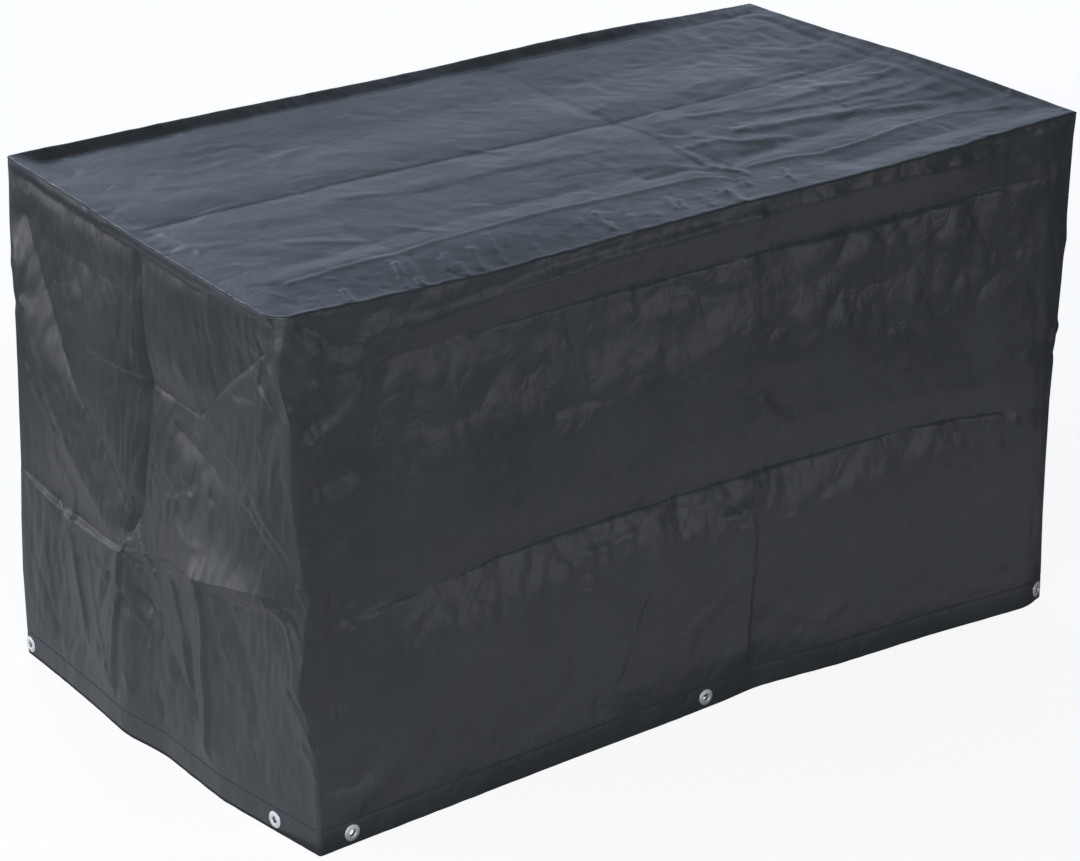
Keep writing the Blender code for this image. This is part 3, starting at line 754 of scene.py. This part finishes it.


# %% [markdown]
# ## A wall with all its creases
#
# The listed creases go on first, then the scattered ones and the noise. Everything eases off
# towards the seams, because a sewn edge is held straight by its thread. Just at a seam the thread
# gathers the cloth, which gives short puckers that stand square to it.

# %% How uneven each wall is
UNEVEN = {  # height of the broad humps, crumples, fine crumples and upright wrinkles
    "front": (2.2, 1.5, 0.50, 0.16), "right": (2.0, 0.9, 0.35, 0.25),
    "back": (2.0, 0.9, 0.30, 0.20), "left": (1.4, 0.7, 0.42, 0.40)}
SMALL = {
    "front": (Scatter(11, 46, (60, 980, 60, 540), 75, 40, (40, 150), 1.2, (8, 26)),
              Scatter(12, 60, (40, 1000, 40, 250), 60, 50, (20, 80), 1.6, (5, 16))),
    "right": (Scatter(21, 40, (40, 540, 60, 540), 80, 40, (40, 160), 1.8, (8, 26)),),
    "back": (Scatter(31, 60, (60, 980, 60, 540), 75, 45, (40, 160), 1.6, (8, 28)),),
    "left": (Scatter(41, 60, (30, 560, 40, 240), 98, 22, (40, 130), 2.4, (6, 18)),
             Scatter(42, 34, (30, 560, 280, 560), 95, 18, (40, 150), 1.0, (6, 18)),
             Scatter(43, 26, (150, 300, 270, 360), 130, 45, (14, 44), 1.1, (4, 10))),
}
HUMP, CRUMPLE, FINE_CRUMPLE, WRINKLE = 150.0, 64.0, 25.0, 13.0  # from one to the next
SLOW_WAVE, QUICK_WAVE = 74.0, 23.0  # lengths of the two waves of the top seam
PUCKER = 9.0                        # from one pucker to the next
print(sum(small.count for scatters in SMALL.values() for small in scatters), "small creases on the walls")

# %% Creases, crumples and puckers of a wall
HEM_FADE, SEAM_FADE = 24.0, 14.0    # creases ease off this near the hem and the top seam
WAVE_FADE, PUCKER_FADE = 22.0, 16.0  # and the seam's waves and puckers this far from it
PUCKER_START = 4.0          # at the seam itself the thread holds them flat
LIP = 1.5                   # height of the top's turned edge
TUCK = 0.7                  # how far a wall's upper edge goes in under it
TUCK_TALL = 7.0             # height over which the wall does so


def from_ends(distances):
    """0 at both ends of a seam, rising to 1 where they no longer hold the cloth."""
    return ramp(np.minimum(distances, distances[-1] - distances), FOLD_FADE)


def seam_wave(side, along):
    """Small waves of the top seam, (inward, up), which the wall and the top share."""
    seed = 70 + "front right back left".split().index(side)
    slow = soft_noise(along, 0.0, SLOW_WAVE, seed)
    quick = soft_noise(along, 0.0, QUICK_WAVE, seed + 10)
    return 0.9 * slow + 0.35 * quick, 0.8 * slow + 0.45 * quick


def wall_places(wall, pitch):
    """Every point of a wall, rows by columns, as (x, y, up), and the place of each on the cut cloth."""
    distances = wall_lines(wall.name, pitch)
    rows = [wall_row(wall, distances, row) for row in wall_rows(pitch)]
    along, inward, up = (np.array(part) for part in zip(*rows))
    below_seam = up[-1] - up
    ends = from_ends(distances)
    fade = ends * np.minimum(ramp(up - HEM_UP, HEM_FADE), ramp(below_seam, SEAM_FADE))
    for fold in wall.folds:
        inward = inward + fade * fold_depth(fold, along, up)
    for small in SMALL[wall.name]:
        inward = inward + fade * scattered(small, along, up)

    broad, crumpled, fine, upright = UNEVEN[wall.name]
    seed = 100 + 10 * [w.name for w in WALLS].index(wall.name)
    noise = broad * soft_noise(along, up, HUMP, seed)
    noise += crumpled * crumple(along, up * 0.75, CRUMPLE, seed + 2)
    noise += fine * crumple(along, up * 0.6, FINE_CRUMPLE, seed + 4)
    noise += upright * crumple(along + 0.18 * up, up * 0.22, WRINKLE, seed + 6)
    inward = inward + fade * noise

    wave_in, wave_up = seam_wave(wall.name, along[-1])
    wave = ends ** 0.5 * np.exp(-below_seam / WAVE_FADE)
    inward, up = inward + wave * wave_in, up + wave * wave_up
    pucker = soft_noise(along, up * 0.25, PUCKER, seed + 8)
    gather = np.exp(-below_seam / PUCKER_FADE) * ramp(below_seam, PUCKER_START)
    inward = inward + ends * 0.5 * pucker * gather

    along, inward = round_ends(wall, distances, along, inward, up)
    last = 1.0 - ramp(below_seam, TUCK_TALL)
    up = up - (LIP + 0.3) * last
    inward = inward + TUCK * last
    return in_plan(wall.name, along, inward, up), np.stack([along, up], axis=-1)


# %% [markdown]
# ## From places to a sheet
#
# A grid primitive has the right faces already. Its points are moved to the worked-out places, and a
# Solidify modifier gives the sheet its thickness on the inner side. The flat cloth's own measures go
# in as UVs, so that the weave follows the cloth and not the room. The cut edges are marked sharp:
# without that, the light would roll over them as if the sheet were padded.

# %% Make a sheet
def in_scene(place):
    """A place in millimetres from the front left corner, in the scene's metres."""
    return (place - np.array([*MIDDLE, 0.0])) * MM


def make_sheet(name, places, cut, thick, flip):
    """A sheet of cloth from rows by columns of places, in millimetres, and its cut's measures."""
    rows, columns = places.shape[:2]
    shape = bmesh.new()
    bmesh.ops.create_grid(shape, x_segments=columns - 1, y_segments=rows - 1, size=0.5)
    if flip:
        bmesh.ops.reverse_faces(shape, faces=shape.faces)
    for edge in shape.edges:
        edge.smooth = not edge.is_boundary
    piece = mesh_object(name, shape)

    mesh = piece.data
    corner = np.zeros(len(mesh.vertices) * 3)
    mesh.vertices.foreach_get("co", corner)
    corner = corner.reshape(-1, 3)
    i = np.rint((corner[:, 0] + 0.5) * (columns - 1)).astype(int)
    j = np.rint((corner[:, 1] + 0.5) * (rows - 1)).astype(int)
    mesh.vertices.foreach_set("co", in_scene(places[j, i]).astype(np.float32).ravel())
    layer = mesh.uv_layers.new(name="cloth")
    loops = np.zeros(len(mesh.loops), int)
    mesh.loops.foreach_get("vertex_index", loops)
    layer.data.foreach_set("uv", (cut[j, i] * MM)[loops].astype(np.float32).ravel())
    mesh.update()
    mesh.shade_smooth()

    solid = piece.modifiers.new("thickness", "SOLIDIFY")
    solid.thickness = thick * MM
    solid.offset = -1.0
    print(name, columns, "by", rows, "points")
    return piece


# %% The four walls
walls = {}
for wall in WALLS:
    places, cut = wall_places(wall, PITCH[wall.name])
    walls[wall.name] = make_sheet(f"cloth_wall_{wall.name}", places, cut, CLOTH, wall.name in REVERSED)

# %% [markdown]
# ## The top
#
# The top is a patch between its four seams. It lies flat on what it covers, and a border runs
# from that flat to each seam: nearly level at the front and left, and slightly up at the others.
# The turned edge of the sewn seam rolls down over the wall, and catches a thin line of light.

# %% Small creases and puckers of the top
TOP_SMALL = (Scatter(51, 60, (40, 1000, 110, 545), 20, 60, (30, 120), 1.0, (8, 24)),
             Scatter(52, 50, (620, 1000, 130, 540), 10, 40, (24, 90), 1.3, (6, 16)),
             Scatter(53, 34, (20, 1010, 6, 80), 90, 20, (14, 40), 1.0, (3, 8)),
             Scatter(54, 20, (4, 44, 40, 540), 0, 30, (14, 36), 0.9, (4, 9)),
             Scatter(55, 30, (20, 1010, 548, 574), 90, 20, (10, 24), 0.8, (3, 8)))
# Short ridges on the front border: x and y of both ends, height (below 0 for a trough) and reach.
PUCKERS = ((94, 36, 87, 10, 2.4, 5), (82, 26, 80, 10, 1.8, 4), (172, 63, 164, 38, 2.4, 5),
           (158, 31, 152, 11, 2.0, 6), (172, 22, 169, 10, 2.4, 5), (198, 74, 182, 12, -1.6, 8),
           (228, 57, 212, 26, 1.8, 6), (217, 49, 204, 14, 1.2, 6), (227, 33, 221, 10, 2.2, 6),
           (258, 55, 243, 14, 2.2, 7), (292, 77, 278, 44, 1.6, 5), (306, 62, 295, 45, 0.9, 4),
           (279, 40, 270, 16, 1.2, 5), (328, 58, 313, 29, 1.2, 5), (348, 69, 338, 51, 0.9, 4),
           (321, 32, 315, 14, 1.0, 4), (422, 69, 410, 40, 2.0, 5), (410, 34, 410, 20, 1.4, 4),
           (396, 62, 390, 51, 1.6, 4), (362, 52, 357, 38, 1.0, 4), (446, 40, 430, 11, 1.6, 7),
           (460, 73, 448, 55, 1.0, 5), (143, 49, 135, 26, 1.2, 6), (50, 40, 43, 18, 0.9, 4),
           (54, 31, 49, 18, 0.8, 3), (63, 33, 55, 14, 1.0, 4), (509, 64, 498, 32, 1.8, 6),
           (515, 49, 508, 28, 1.8, 4), (541, 32, 534, 16, 1.6, 4), (542, 50, 532, 31, 1.0, 4),
           (417, 38, 411, 24, 1.6, 4), (480, 50, 470, 26, 0.9, 6), (590, 76, 572, 42, 2.2, 9),
           (572, 40, 567, 12, 1.6, 8), (613, 66, 606, 45, 2.0, 5), (606, 72, 580, 16, -1.6, 9),
           (667, 66, 655, 41, 2.2, 4), (655, 41, 652, 27, 1.8, 4), (698, 58, 683, 34, 0.9, 7),
           (374, 60, 362, 30, 0.8, 7), (246, 40, 236, 16, 0.9, 6), (724, 52, 712, 26, 0.7, 8))
PUCKER_TALL = 0.72          # share of the heights above
PUCKER_SLACK = 1.4          # times the reach on a pucker's slack side
print(len(PUCKERS), "puckers and", sum(small.count for small in TOP_SMALL), "small creases on the top")

# %% The flat of the top and its borders
RIM = 12.0                  # width of the steeper rise beside the right seam


def seam_places(wall, distances):
    """The top seam along a wall, as (x, y, up) with its waves and round corners."""
    along, inward, up = wall_row(wall, distances, (RINGS[-2], RINGS[-1], 1.0))
    wave_in, wave_up = seam_wave(wall.name, along)
    held = from_ends(distances) ** 0.5
    inward, up = inward + held * wave_in, up + held * wave_up
    along, inward = round_ends(wall, distances, along, inward, up)
    return in_plan(wall.name, along, inward, up)


def patch_between(seams, across, deep):
    """A smooth patch between the four seams."""
    u, v = (across / LENGTH)[None, :, None], (deep / DEPTH)[:, None, None]
    front, back = seams["front"], seams["back"]
    corners = ((1 - v) * ((1 - u) * front[:, :1] + u * front[:, -1:])
               + v * ((1 - u) * back[:, :1] + u * back[:, -1:]))
    return (1 - v) * front + v * back + (1 - u) * seams["left"] + u * seams["right"] - corners


def border_height(seams, gaps):
    """Height of the flat of the top and of its borders, which run up or down to the seams."""
    pull = {name: smooth(1.0 - ramp(gap, BORDER[name])) for name, gap in gaps.items()}
    pull["right"] = 0.6 * pull["right"] + 0.4 * (1.0 - ramp(gaps["right"], RIM)) ** 1.5
    up = PLATEAU
    for name in ("left", "right", "front", "back"):
        up = up + (seams[name][:, :, 2] - PLATEAU) * pull[name]
    for long_side in LONG:
        for short_side, at in (("left", 0), ("right", -1)):
            up = up - (seams[long_side][0, at, 2] - PLATEAU) * pull[long_side] * pull[short_side]
    return up


# %% Creases and turned edge of the top
TOP_FADE = 30.0             # the creases of the top ease off this near its seams
SMALL_FADE = 8.0            # and its small creases and the puckers of the border this near
GATHER_FADE = 14.0          # the fine puckers at the seam itself end this far from it
TOP_HUMP, ROUGH_PATCH, SMALL_CRUMPLE, TINY_CRUMPLE = 170.0, 120.0, 26.0, 12.0  # from one to the next
LIP_WIDE = 4.2              # width of the turned edge, which rolls down over the wall
RIB_IN, RIB_WIDE = 5.2, 2.4  # place and width of the rib that the seam raises inside that edge


def top_creases(x, y, inside):
    """How far its creases and puckers raise the top, at a distance inside its seams."""
    fade, held = ramp(inside, TOP_FADE), ramp(inside, SMALL_FADE)
    up = 0.0
    for fold in TOP_FOLDS:
        up = up - fade * fold_depth(fold, x, y)
    for small in TOP_SMALL:
        up = up - held * scattered(small, x, y)
    for x0, y0, x1, y1, tall, reach in PUCKERS:
        pucker = (PUCKER_TALL * tall, reach, PUCKER_SLACK * reach, (x0, y0), (x1, y1))
        up = up + held * fold_depth(pucker, x, y)
    up = up + fade * (1.3 * soft_noise(x, y, TOP_HUMP, 301) + 0.40 * crumple(x, y, CRUMPLE, 303))
    # the cloth is smooth at the left and rough in patches, more so to the right
    rough = np.clip(0.35 + 0.65 * soft_noise(x, y, ROUGH_PATCH, 305) + (x - 500.0) / 700.0, 0.2, 1.3)
    crumples = 0.42 * crumple(x, y, SMALL_CRUMPLE, 307) + 0.15 * crumple(x, y, TINY_CRUMPLE, 309)
    gather = np.exp(-inside / GATHER_FADE) * ramp(inside, PUCKER_START)
    return up + held * rough * crumples + 0.4 * gather * soft_noise(x + y, 0.2 * (x - y), PUCKER, 315)


def turned_edge(x, y, inside):
    """How far the sewn edge raises the top: a ragged rib, and then the roll over the wall."""
    roll = 1.0 - ramp(inside, LIP_WIDE)
    ragged = 0.55 + 0.45 * soft_noise(x + y, x - y, 16.0, 311)
    rib = 0.6 * ragged * np.exp(-((inside - RIB_IN) / RIB_WIDE) ** 2)
    return rib - LIP * (1.0 - np.sqrt(1.0 - roll ** 2))


# %% Make the top
BUSY_ACROSS = ((16, 730), (840, 1010))          # parts of the top with more columns
BUSY_DEEP = ((12, 104), (298, 316), (545, 562))  # and with more rows


def top_places():
    """Every point of the top, as (x, y, up), and the place of each on the cut cloth."""
    across = mesh_lines(LENGTH, 6.3, BUSY_ACROSS)
    deep = mesh_lines(DEPTH, 5.0, BUSY_DEEP)
    seams = {}
    for wall in WALLS:
        if wall.name in LONG:
            seams[wall.name] = seam_places(wall, across)[None, :, :]
        else:
            seams[wall.name] = seam_places(wall, deep)[:, None, :]
    patch = patch_between(seams, across, deep)
    x, y = patch[:, :, 0], patch[:, :, 1]
    from_left, from_front = np.meshgrid(across, deep)
    gaps = {"left": from_left, "right": LENGTH - from_left,
            "front": from_front, "back": DEPTH - from_front}
    inside = np.minimum.reduce(list(gaps.values()))
    up = border_height(seams, gaps) + top_creases(x, y, inside) + turned_edge(x, y, inside)
    return np.stack([x, y, up], axis=-1), patch[:, :, :2]


places, cut = top_places()
top = make_sheet("cloth_top", places, cut, CLOTH, False)

# %% [markdown]
# ## The hem strip
#
# The hem follows the foot of each wall down to the floor. It is thicker than the wall and stands
# apart by its seam line. Its eyelet holes are cut with a Boolean, whose result is kept as the
# mesh, because then nothing is left to work out later.

# %% Hem strips
STITCH_UP = 28.6            # where the hem's row of stitches sinks into the cloth
HEM_LINES = (0.0, 0.8, 2.0, 5.0, 9.0, 13.0, 17.0, 21.0, 25.0, 28.0, 30.2, 31.4, 32.0)
HEM_CRUMPLE = 34.0          # from one to the next


def hem_line(wall, distances):
    """(along, inward) of the foot of a wall, with its round ends."""
    along, inward, up = wall_row(wall, distances, (RINGS[0], RINGS[0], 0.0))
    return round_ends(wall, distances, along, inward, up)


def hem_places(wall, pitch):
    """Every point of a hem strip, as (x, y, up), and the place of each on the cut cloth."""
    distances = wall_lines(wall.name, pitch)
    along, inward = hem_line(wall, distances)
    levels = np.array(HEM_LINES)[:, None]
    edge = 0.6 * np.exp(-levels / 1.2) + 0.35 * np.exp(-((levels - STITCH_UP) / 1.3) ** 2)
    wave = 0.35 * from_ends(distances) * crumple(along, levels * 0.5, HEM_CRUMPLE, 400)
    wave = wave * (1.0 - levels / HEM_UP)
    return (in_plan(wall.name, along, inward + edge + wave, levels),
            np.stack(np.broadcast_arrays(along, levels), axis=-1))


# %% Eyelet holes
EYELET_UP = 14.5
STRIP_HOLE_R = 5.4
PUNCH_LONG = 16.0           # long enough to go right through a strip
FINE_PITCH = 2.0            # between the points at which the foot of a wall is read
UPWARDS = Vector((0, 0, 1))


def hem_spot(side, foot, place, step, up):
    """A spot on a hem in metres, and the way in which the hem runs there."""
    before, spot, after = (in_scene(in_plan(side, a, np.interp(a, *foot), up))
                           for a in (place - step, place, place + step))
    return Vector(spot), Vector(after - before).normalized()


def eyelet_seat(wall, place):
    """Centre of an eyelet on the strip's outer face, and the direction that it faces."""
    foot = hem_line(wall, wall_lines(wall.name, FINE_PITCH))
    centre, run = hem_spot(wall.name, foot, place, 5.0, EYELET_UP)
    outward = run.cross(UPWARDS)
    return centre, (-outward if wall.name in REVERSED else outward)


def facing(centre, outward):
    """The matrix that sets a thing down at its centre, with its axis along outward."""
    return Matrix.Translation(centre) @ outward.to_track_quat("Z", "Y").to_matrix().to_4x4()


def cut_holes(piece, seats):
    """Cut a round hole through a strip at each seat, and keep the result as its mesh."""
    shape = bmesh.new()
    for seat in seats:
        made = bmesh.ops.create_cone(shape, cap_ends=True, segments=32, radius1=STRIP_HOLE_R * MM,
                                     radius2=STRIP_HOLE_R * MM, depth=PUNCH_LONG * MM)
        bmesh.ops.transform(shape, matrix=facing(*seat), verts=made["verts"])
    punch = mesh_object("punch", shape)
    cutter = piece.modifiers.new("holes", "BOOLEAN")
    cutter.operation = "DIFFERENCE"
    cutter.object = punch
    bpy.context.view_layer.update()
    solid = piece.evaluated_get(bpy.context.evaluated_depsgraph_get())
    piece.data = bpy.data.meshes.new_from_object(solid)
    piece.modifiers.clear()
    bpy.data.objects.remove(punch)
    print(piece.name, "after punching:", len(piece.data.polygons), "faces")


hems, seats = {}, {}
for wall in WALLS:
    places, cut = hem_places(wall, HEM_PITCH)
    strip = make_sheet(f"cloth_hem_{wall.name}", places, cut, HEM_THICK, wall.name in REVERSED)
    seats[wall.name] = [eyelet_seat(wall, place) for place in wall.eyelets]
    cut_holes(strip, seats[wall.name])
    hems[wall.name] = strip

# %% [markdown]
# ## Eyelets
#
# A pressed eyelet is a turned thing, so its section is drawn once and spun round its axis. The
# section goes over the domed flange, down the barrel, and out to the curled washer behind the strip.

# %% Spin the eyelets
FLANGE_R = 9.5
BORE_R = 3.9
SHANK_R = 4.95              # outside of the barrel, in the strip's hole
BEAD_MIDDLE = (5.2, 0.75)   # of the round bead beside the bore, which is wider than it is tall
BEAD_WIDE, BEAD_TALL = 1.3, 0.95
EYELET_STEPS = 48


def eyelet_section():
    """Section of an eyelet as (radius, out) from the strip's face, in millimetres."""
    behind = -HEM_THICK
    bead = [(BEAD_MIDDLE[0] + BEAD_WIDE * math.cos(math.radians(a)),
             BEAD_MIDDLE[1] + BEAD_TALL * math.sin(math.radians(a))) for a in range(180, 30, -25)]
    dome = [(7.4, 1.32), (8.4, 1.18), (9.1, 0.88), (FLANGE_R, 0.45), (9.35, 0.12)]
    under = [(8.6, 0.02), (SHANK_R, 0.02), (SHANK_R, behind - 0.02), (8.4, behind - 0.02)]
    washer = [(8.6, behind - 0.3), (8.0, behind - 0.6), (5.6, behind - 0.95), (4.7, behind - 0.8)]
    return [(BORE_R, 0.4), *bead, *dome, *under, *washer, (BORE_R, behind - 0.3)]


def make_eyelet(name, seat):
    """An eyelet in its seat: its section, spun all the way round."""
    shape = bmesh.new()
    verts = [shape.verts.new((r * MM, 0.0, out * MM)) for r, out in eyelet_section()]
    edges = [shape.edges.new(pair) for pair in zip(verts, verts[1:] + verts[:1])]
    bmesh.ops.spin(shape, geom=[*verts, *edges], cent=(0, 0, 0), axis=(0, 0, 1), dvec=(0, 0, 0),
                   angle=math.tau, steps=EYELET_STEPS, use_merge=True, use_duplicate=False)
    bmesh.ops.remove_doubles(shape, verts=shape.verts, dist=1e-6)
    bmesh.ops.recalc_face_normals(shape, faces=shape.faces)
    bmesh.ops.transform(shape, matrix=facing(*seat), verts=shape.verts)
    ring = mesh_object(name, shape)
    ring.data.shade_smooth()
    return ring


eyelets = {wall.name: [] for wall in WALLS}
count = 0
for wall in WALLS:
    for seat in seats[wall.name]:
        count += 1
        eyelets[wall.name].append(make_eyelet(f"ring_eyelet_{count:02d}", seat))
print(count, "eyelets of", 2 * FLANGE_R, "mm")

# %% [markdown]
# ## Stitches of the hem
#
# A lockstitch shows as short thread ends in a row. Each is a small bevelled bar that lies on the
# cloth. There are hundreds, so a stitch has only a few faces, and a wall's row is one mesh.

# %% Sew the hem
STITCH_PITCH = 4.6
STITCH_SIZE = (3.3, 0.8, 0.56)  # along the hem, up and out
STITCH_BEVEL = 0.22
STITCH_START = 8.0              # from the corner to the first stitch


def make_stitches(wall):
    """A wall's whole row of stitches as one mesh."""
    foot = hem_line(wall, wall_lines(wall.name, FINE_PITCH))
    along = foot[0]
    size = Matrix.Diagonal((*(side * MM for side in STITCH_SIZE), 1.0))
    shape = bmesh.new()
    for place in np.arange(along[0] + STITCH_START, along[-1] - STITCH_START, STITCH_PITCH):
        spot, run = hem_spot(wall.name, foot, place, 1.0, STITCH_UP)
        axes = Matrix((run, UPWARDS, run.cross(UPWARDS))).transposed().to_4x4()
        made = bmesh.ops.create_cube(shape, size=1.0)
        bmesh.ops.transform(shape, matrix=Matrix.Translation(spot) @ axes @ size, verts=made["verts"])
    bmesh.ops.bevel(shape, geom=list(shape.edges), offset=STITCH_BEVEL * MM, segments=1, profile=0.5,
                    affect="EDGES", material=-1)
    bmesh.ops.recalc_face_normals(shape, faces=shape.faces)
    thread = mesh_object(f"thread_{wall.name}", shape)
    thread.data.shade_smooth()
    return thread


threads = {wall.name: make_stitches(wall) for wall in WALLS}
print("stitches:", sum(len(thread.data.polygons) for thread in threads.values()), "faces")


# %% [markdown]
# ## The cloth's finish
#
# The sheet is woven from flat plastic tapes and coated, so it is a smooth dark anthracite with a
# semi-gloss skin. The tapes print through as a faint grid, and handling leaves wrinkles of three
# sizes that break up its reflections. Colour hardly varies: dust makes it a little paler.

# %% Coated woven polyethylene
CLEAN, DUSTY = "#34383B", "#3C4043"
TAPE_MM = 1.8               # width of a woven tape; drawn as wide as it is, and only just visible
WRINKLES = ((70.0, 3.6), (24.0, 1.0), (8.0, 0.22))  # size, and share of the height that's asked for


def vary_gloss(tree, shader, noise, roughness):
    """Let the roughness go a little up and down with a noise: a surface is never evenly smooth."""
    gloss = add_node(tree, "MapRange", Value=noise, From_Min=0.3, From_Max=0.7,
                     To_Min=roughness - 0.05, To_Max=roughness + 0.05)
    set_inputs(tree, shader, Roughness=gloss)


def crease_height(tree, place, size, tall):
    """Height of sharp creases round smooth facets of a size in millimetres, some times as tall."""
    scale = (1.0 / (size * MM), 1.0 / (size * tall * MM), 1.0)
    spread = add_node(tree, "Mapping", Vector=place, Scale=scale)
    noise = add_node(tree, "TexNoise", Vector=spread, Scale=1.0, Detail=1.5, Distortion=0.6)
    middle = add_node(tree, "Math", {"operation": "SUBTRACT"}, _0=noise, _1=0.5)
    return add_node(tree, "Math", {"operation": "ABSOLUTE"}, _0=middle)


def make_cloth(where, roughness, creased, tall):
    """The coated cloth. creased is the height of its wrinkles, which are some times as tall as wide."""
    material, tree, shader = new_material(f"coated woven polyethylene, {where}")
    place = add_node(tree, "UVMap", {"uv_map": "cloth"})
    dust = add_node(tree, "TexNoise", Vector=place, Scale=9.0, Detail=5.0, Roughness=0.6)
    fine = add_node(tree, "TexNoise", Vector=place, Scale=180.0, Detail=3.0, Roughness=0.6)
    blend = add_node(tree, "Math", {"operation": "MULTIPLY_ADD"}, _0=fine, _1=0.35, _2=dust)
    shade = add_node(tree, "MapRange", Value=blend, From_Min=0.5, From_Max=0.95)
    tint = add_node(tree, "Mix", {"data_type": "RGBA"}, _0=shade, _6=hex_colour(CLEAN),
                    _7=hex_colour(DUSTY))
    vary_gloss(tree, shader, dust, roughness)

    tapes = add_node(tree, "TexBrick", {"offset": 0.5, "squash": 1.0}, Vector=place, Scale=1.0,
                     Mortar_Size=0.0002, Mortar_Smooth=1.0, Brick_Width=2 * TAPE_MM * MM,
                     Row_Height=TAPE_MM * MM)
    normal = add_node(tree, "Bump", {"invert": True}, Strength=0.06, Distance=0.0003,
                      Height=tapes.outputs["Fac"])
    for size, share in WRINKLES:
        normal = add_node(tree, "Bump", Strength=1.0, Distance=creased * share * MM,
                          Height=crease_height(tree, place, size, tall), Normal=normal)
    set_inputs(tree, shader, Base_Color=tint.outputs[2], Normal=normal)
    return material


cloth_top = make_cloth("top", 0.35, 0.5, 0.8)
cloth_long = make_cloth("long walls", 0.38, 1.3, 1.2)
cloth_short = make_cloth("short walls", 0.40, 1.2, 2.2)

# %% [markdown]
# ## Metal and thread
#
# The eyelets are pressed from bright aluminium: pale and satin, so that they gather soft light
# from all round. The thread is a dull dark polyester, a little darker than the cloth.


# %% Pressed aluminium and polyester thread
def make_plain(name, colour, roughness, metallic, grain, depth):
    """A finish with a fine grain in its surface. grain is its size, and depth its height."""
    material, tree, shader = new_material(name, Base_Color=hex_colour(colour), Metallic=metallic)
    place = add_node(tree, "TexCoord").outputs["Object"]
    noise = add_node(tree, "TexNoise", Vector=place, Scale=1.0 / (grain * MM), Detail=3.0)
    bump = add_node(tree, "Bump", Strength=0.3, Distance=depth * MM, Height=noise)
    vary_gloss(tree, shader, noise, roughness)
    set_inputs(tree, shader, Normal=bump)
    return material


metal = make_plain("pressed aluminium", "#F2F3F4", 0.58, 1.0, 1.5, 0.03)
polyester = make_plain("polyester thread", "#2A2E32", 0.7, 0.0, 0.4, 0.05)

# %% [markdown]
# ## Put it together
#
# Each sheet stands for its node of the imported model, which it hides, and takes the finish given to it.
# The cover has one body and nothing in it moves by itself, so every piece rides on the root.


# %% Dress the imported model
def dress(piece, material, slot, *nodes):
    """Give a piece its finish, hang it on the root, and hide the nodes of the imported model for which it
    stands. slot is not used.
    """
    piece.data.materials.clear()
    piece.data.materials.append(material)
    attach(piece, "root")
    if nodes:
        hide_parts(*nodes)


dress(top, cloth_top, "cloth", "top_panel")
number = 0
for wall in WALLS:
    side = wall.name
    cloth = cloth_long if side in LONG else cloth_short
    dress(walls[side], cloth, "cloth", f"wall_{side}")
    dress(hems[side], cloth, "hem", f"hem_{side}")
    dress(threads[side], polyester, "hem")
    for ring in eyelets[side]:
        number += 1
        dress(ring, metal, "eyelet", f"eyelet_{number:02d}")

for wall in WALLS:
    side = wall.name
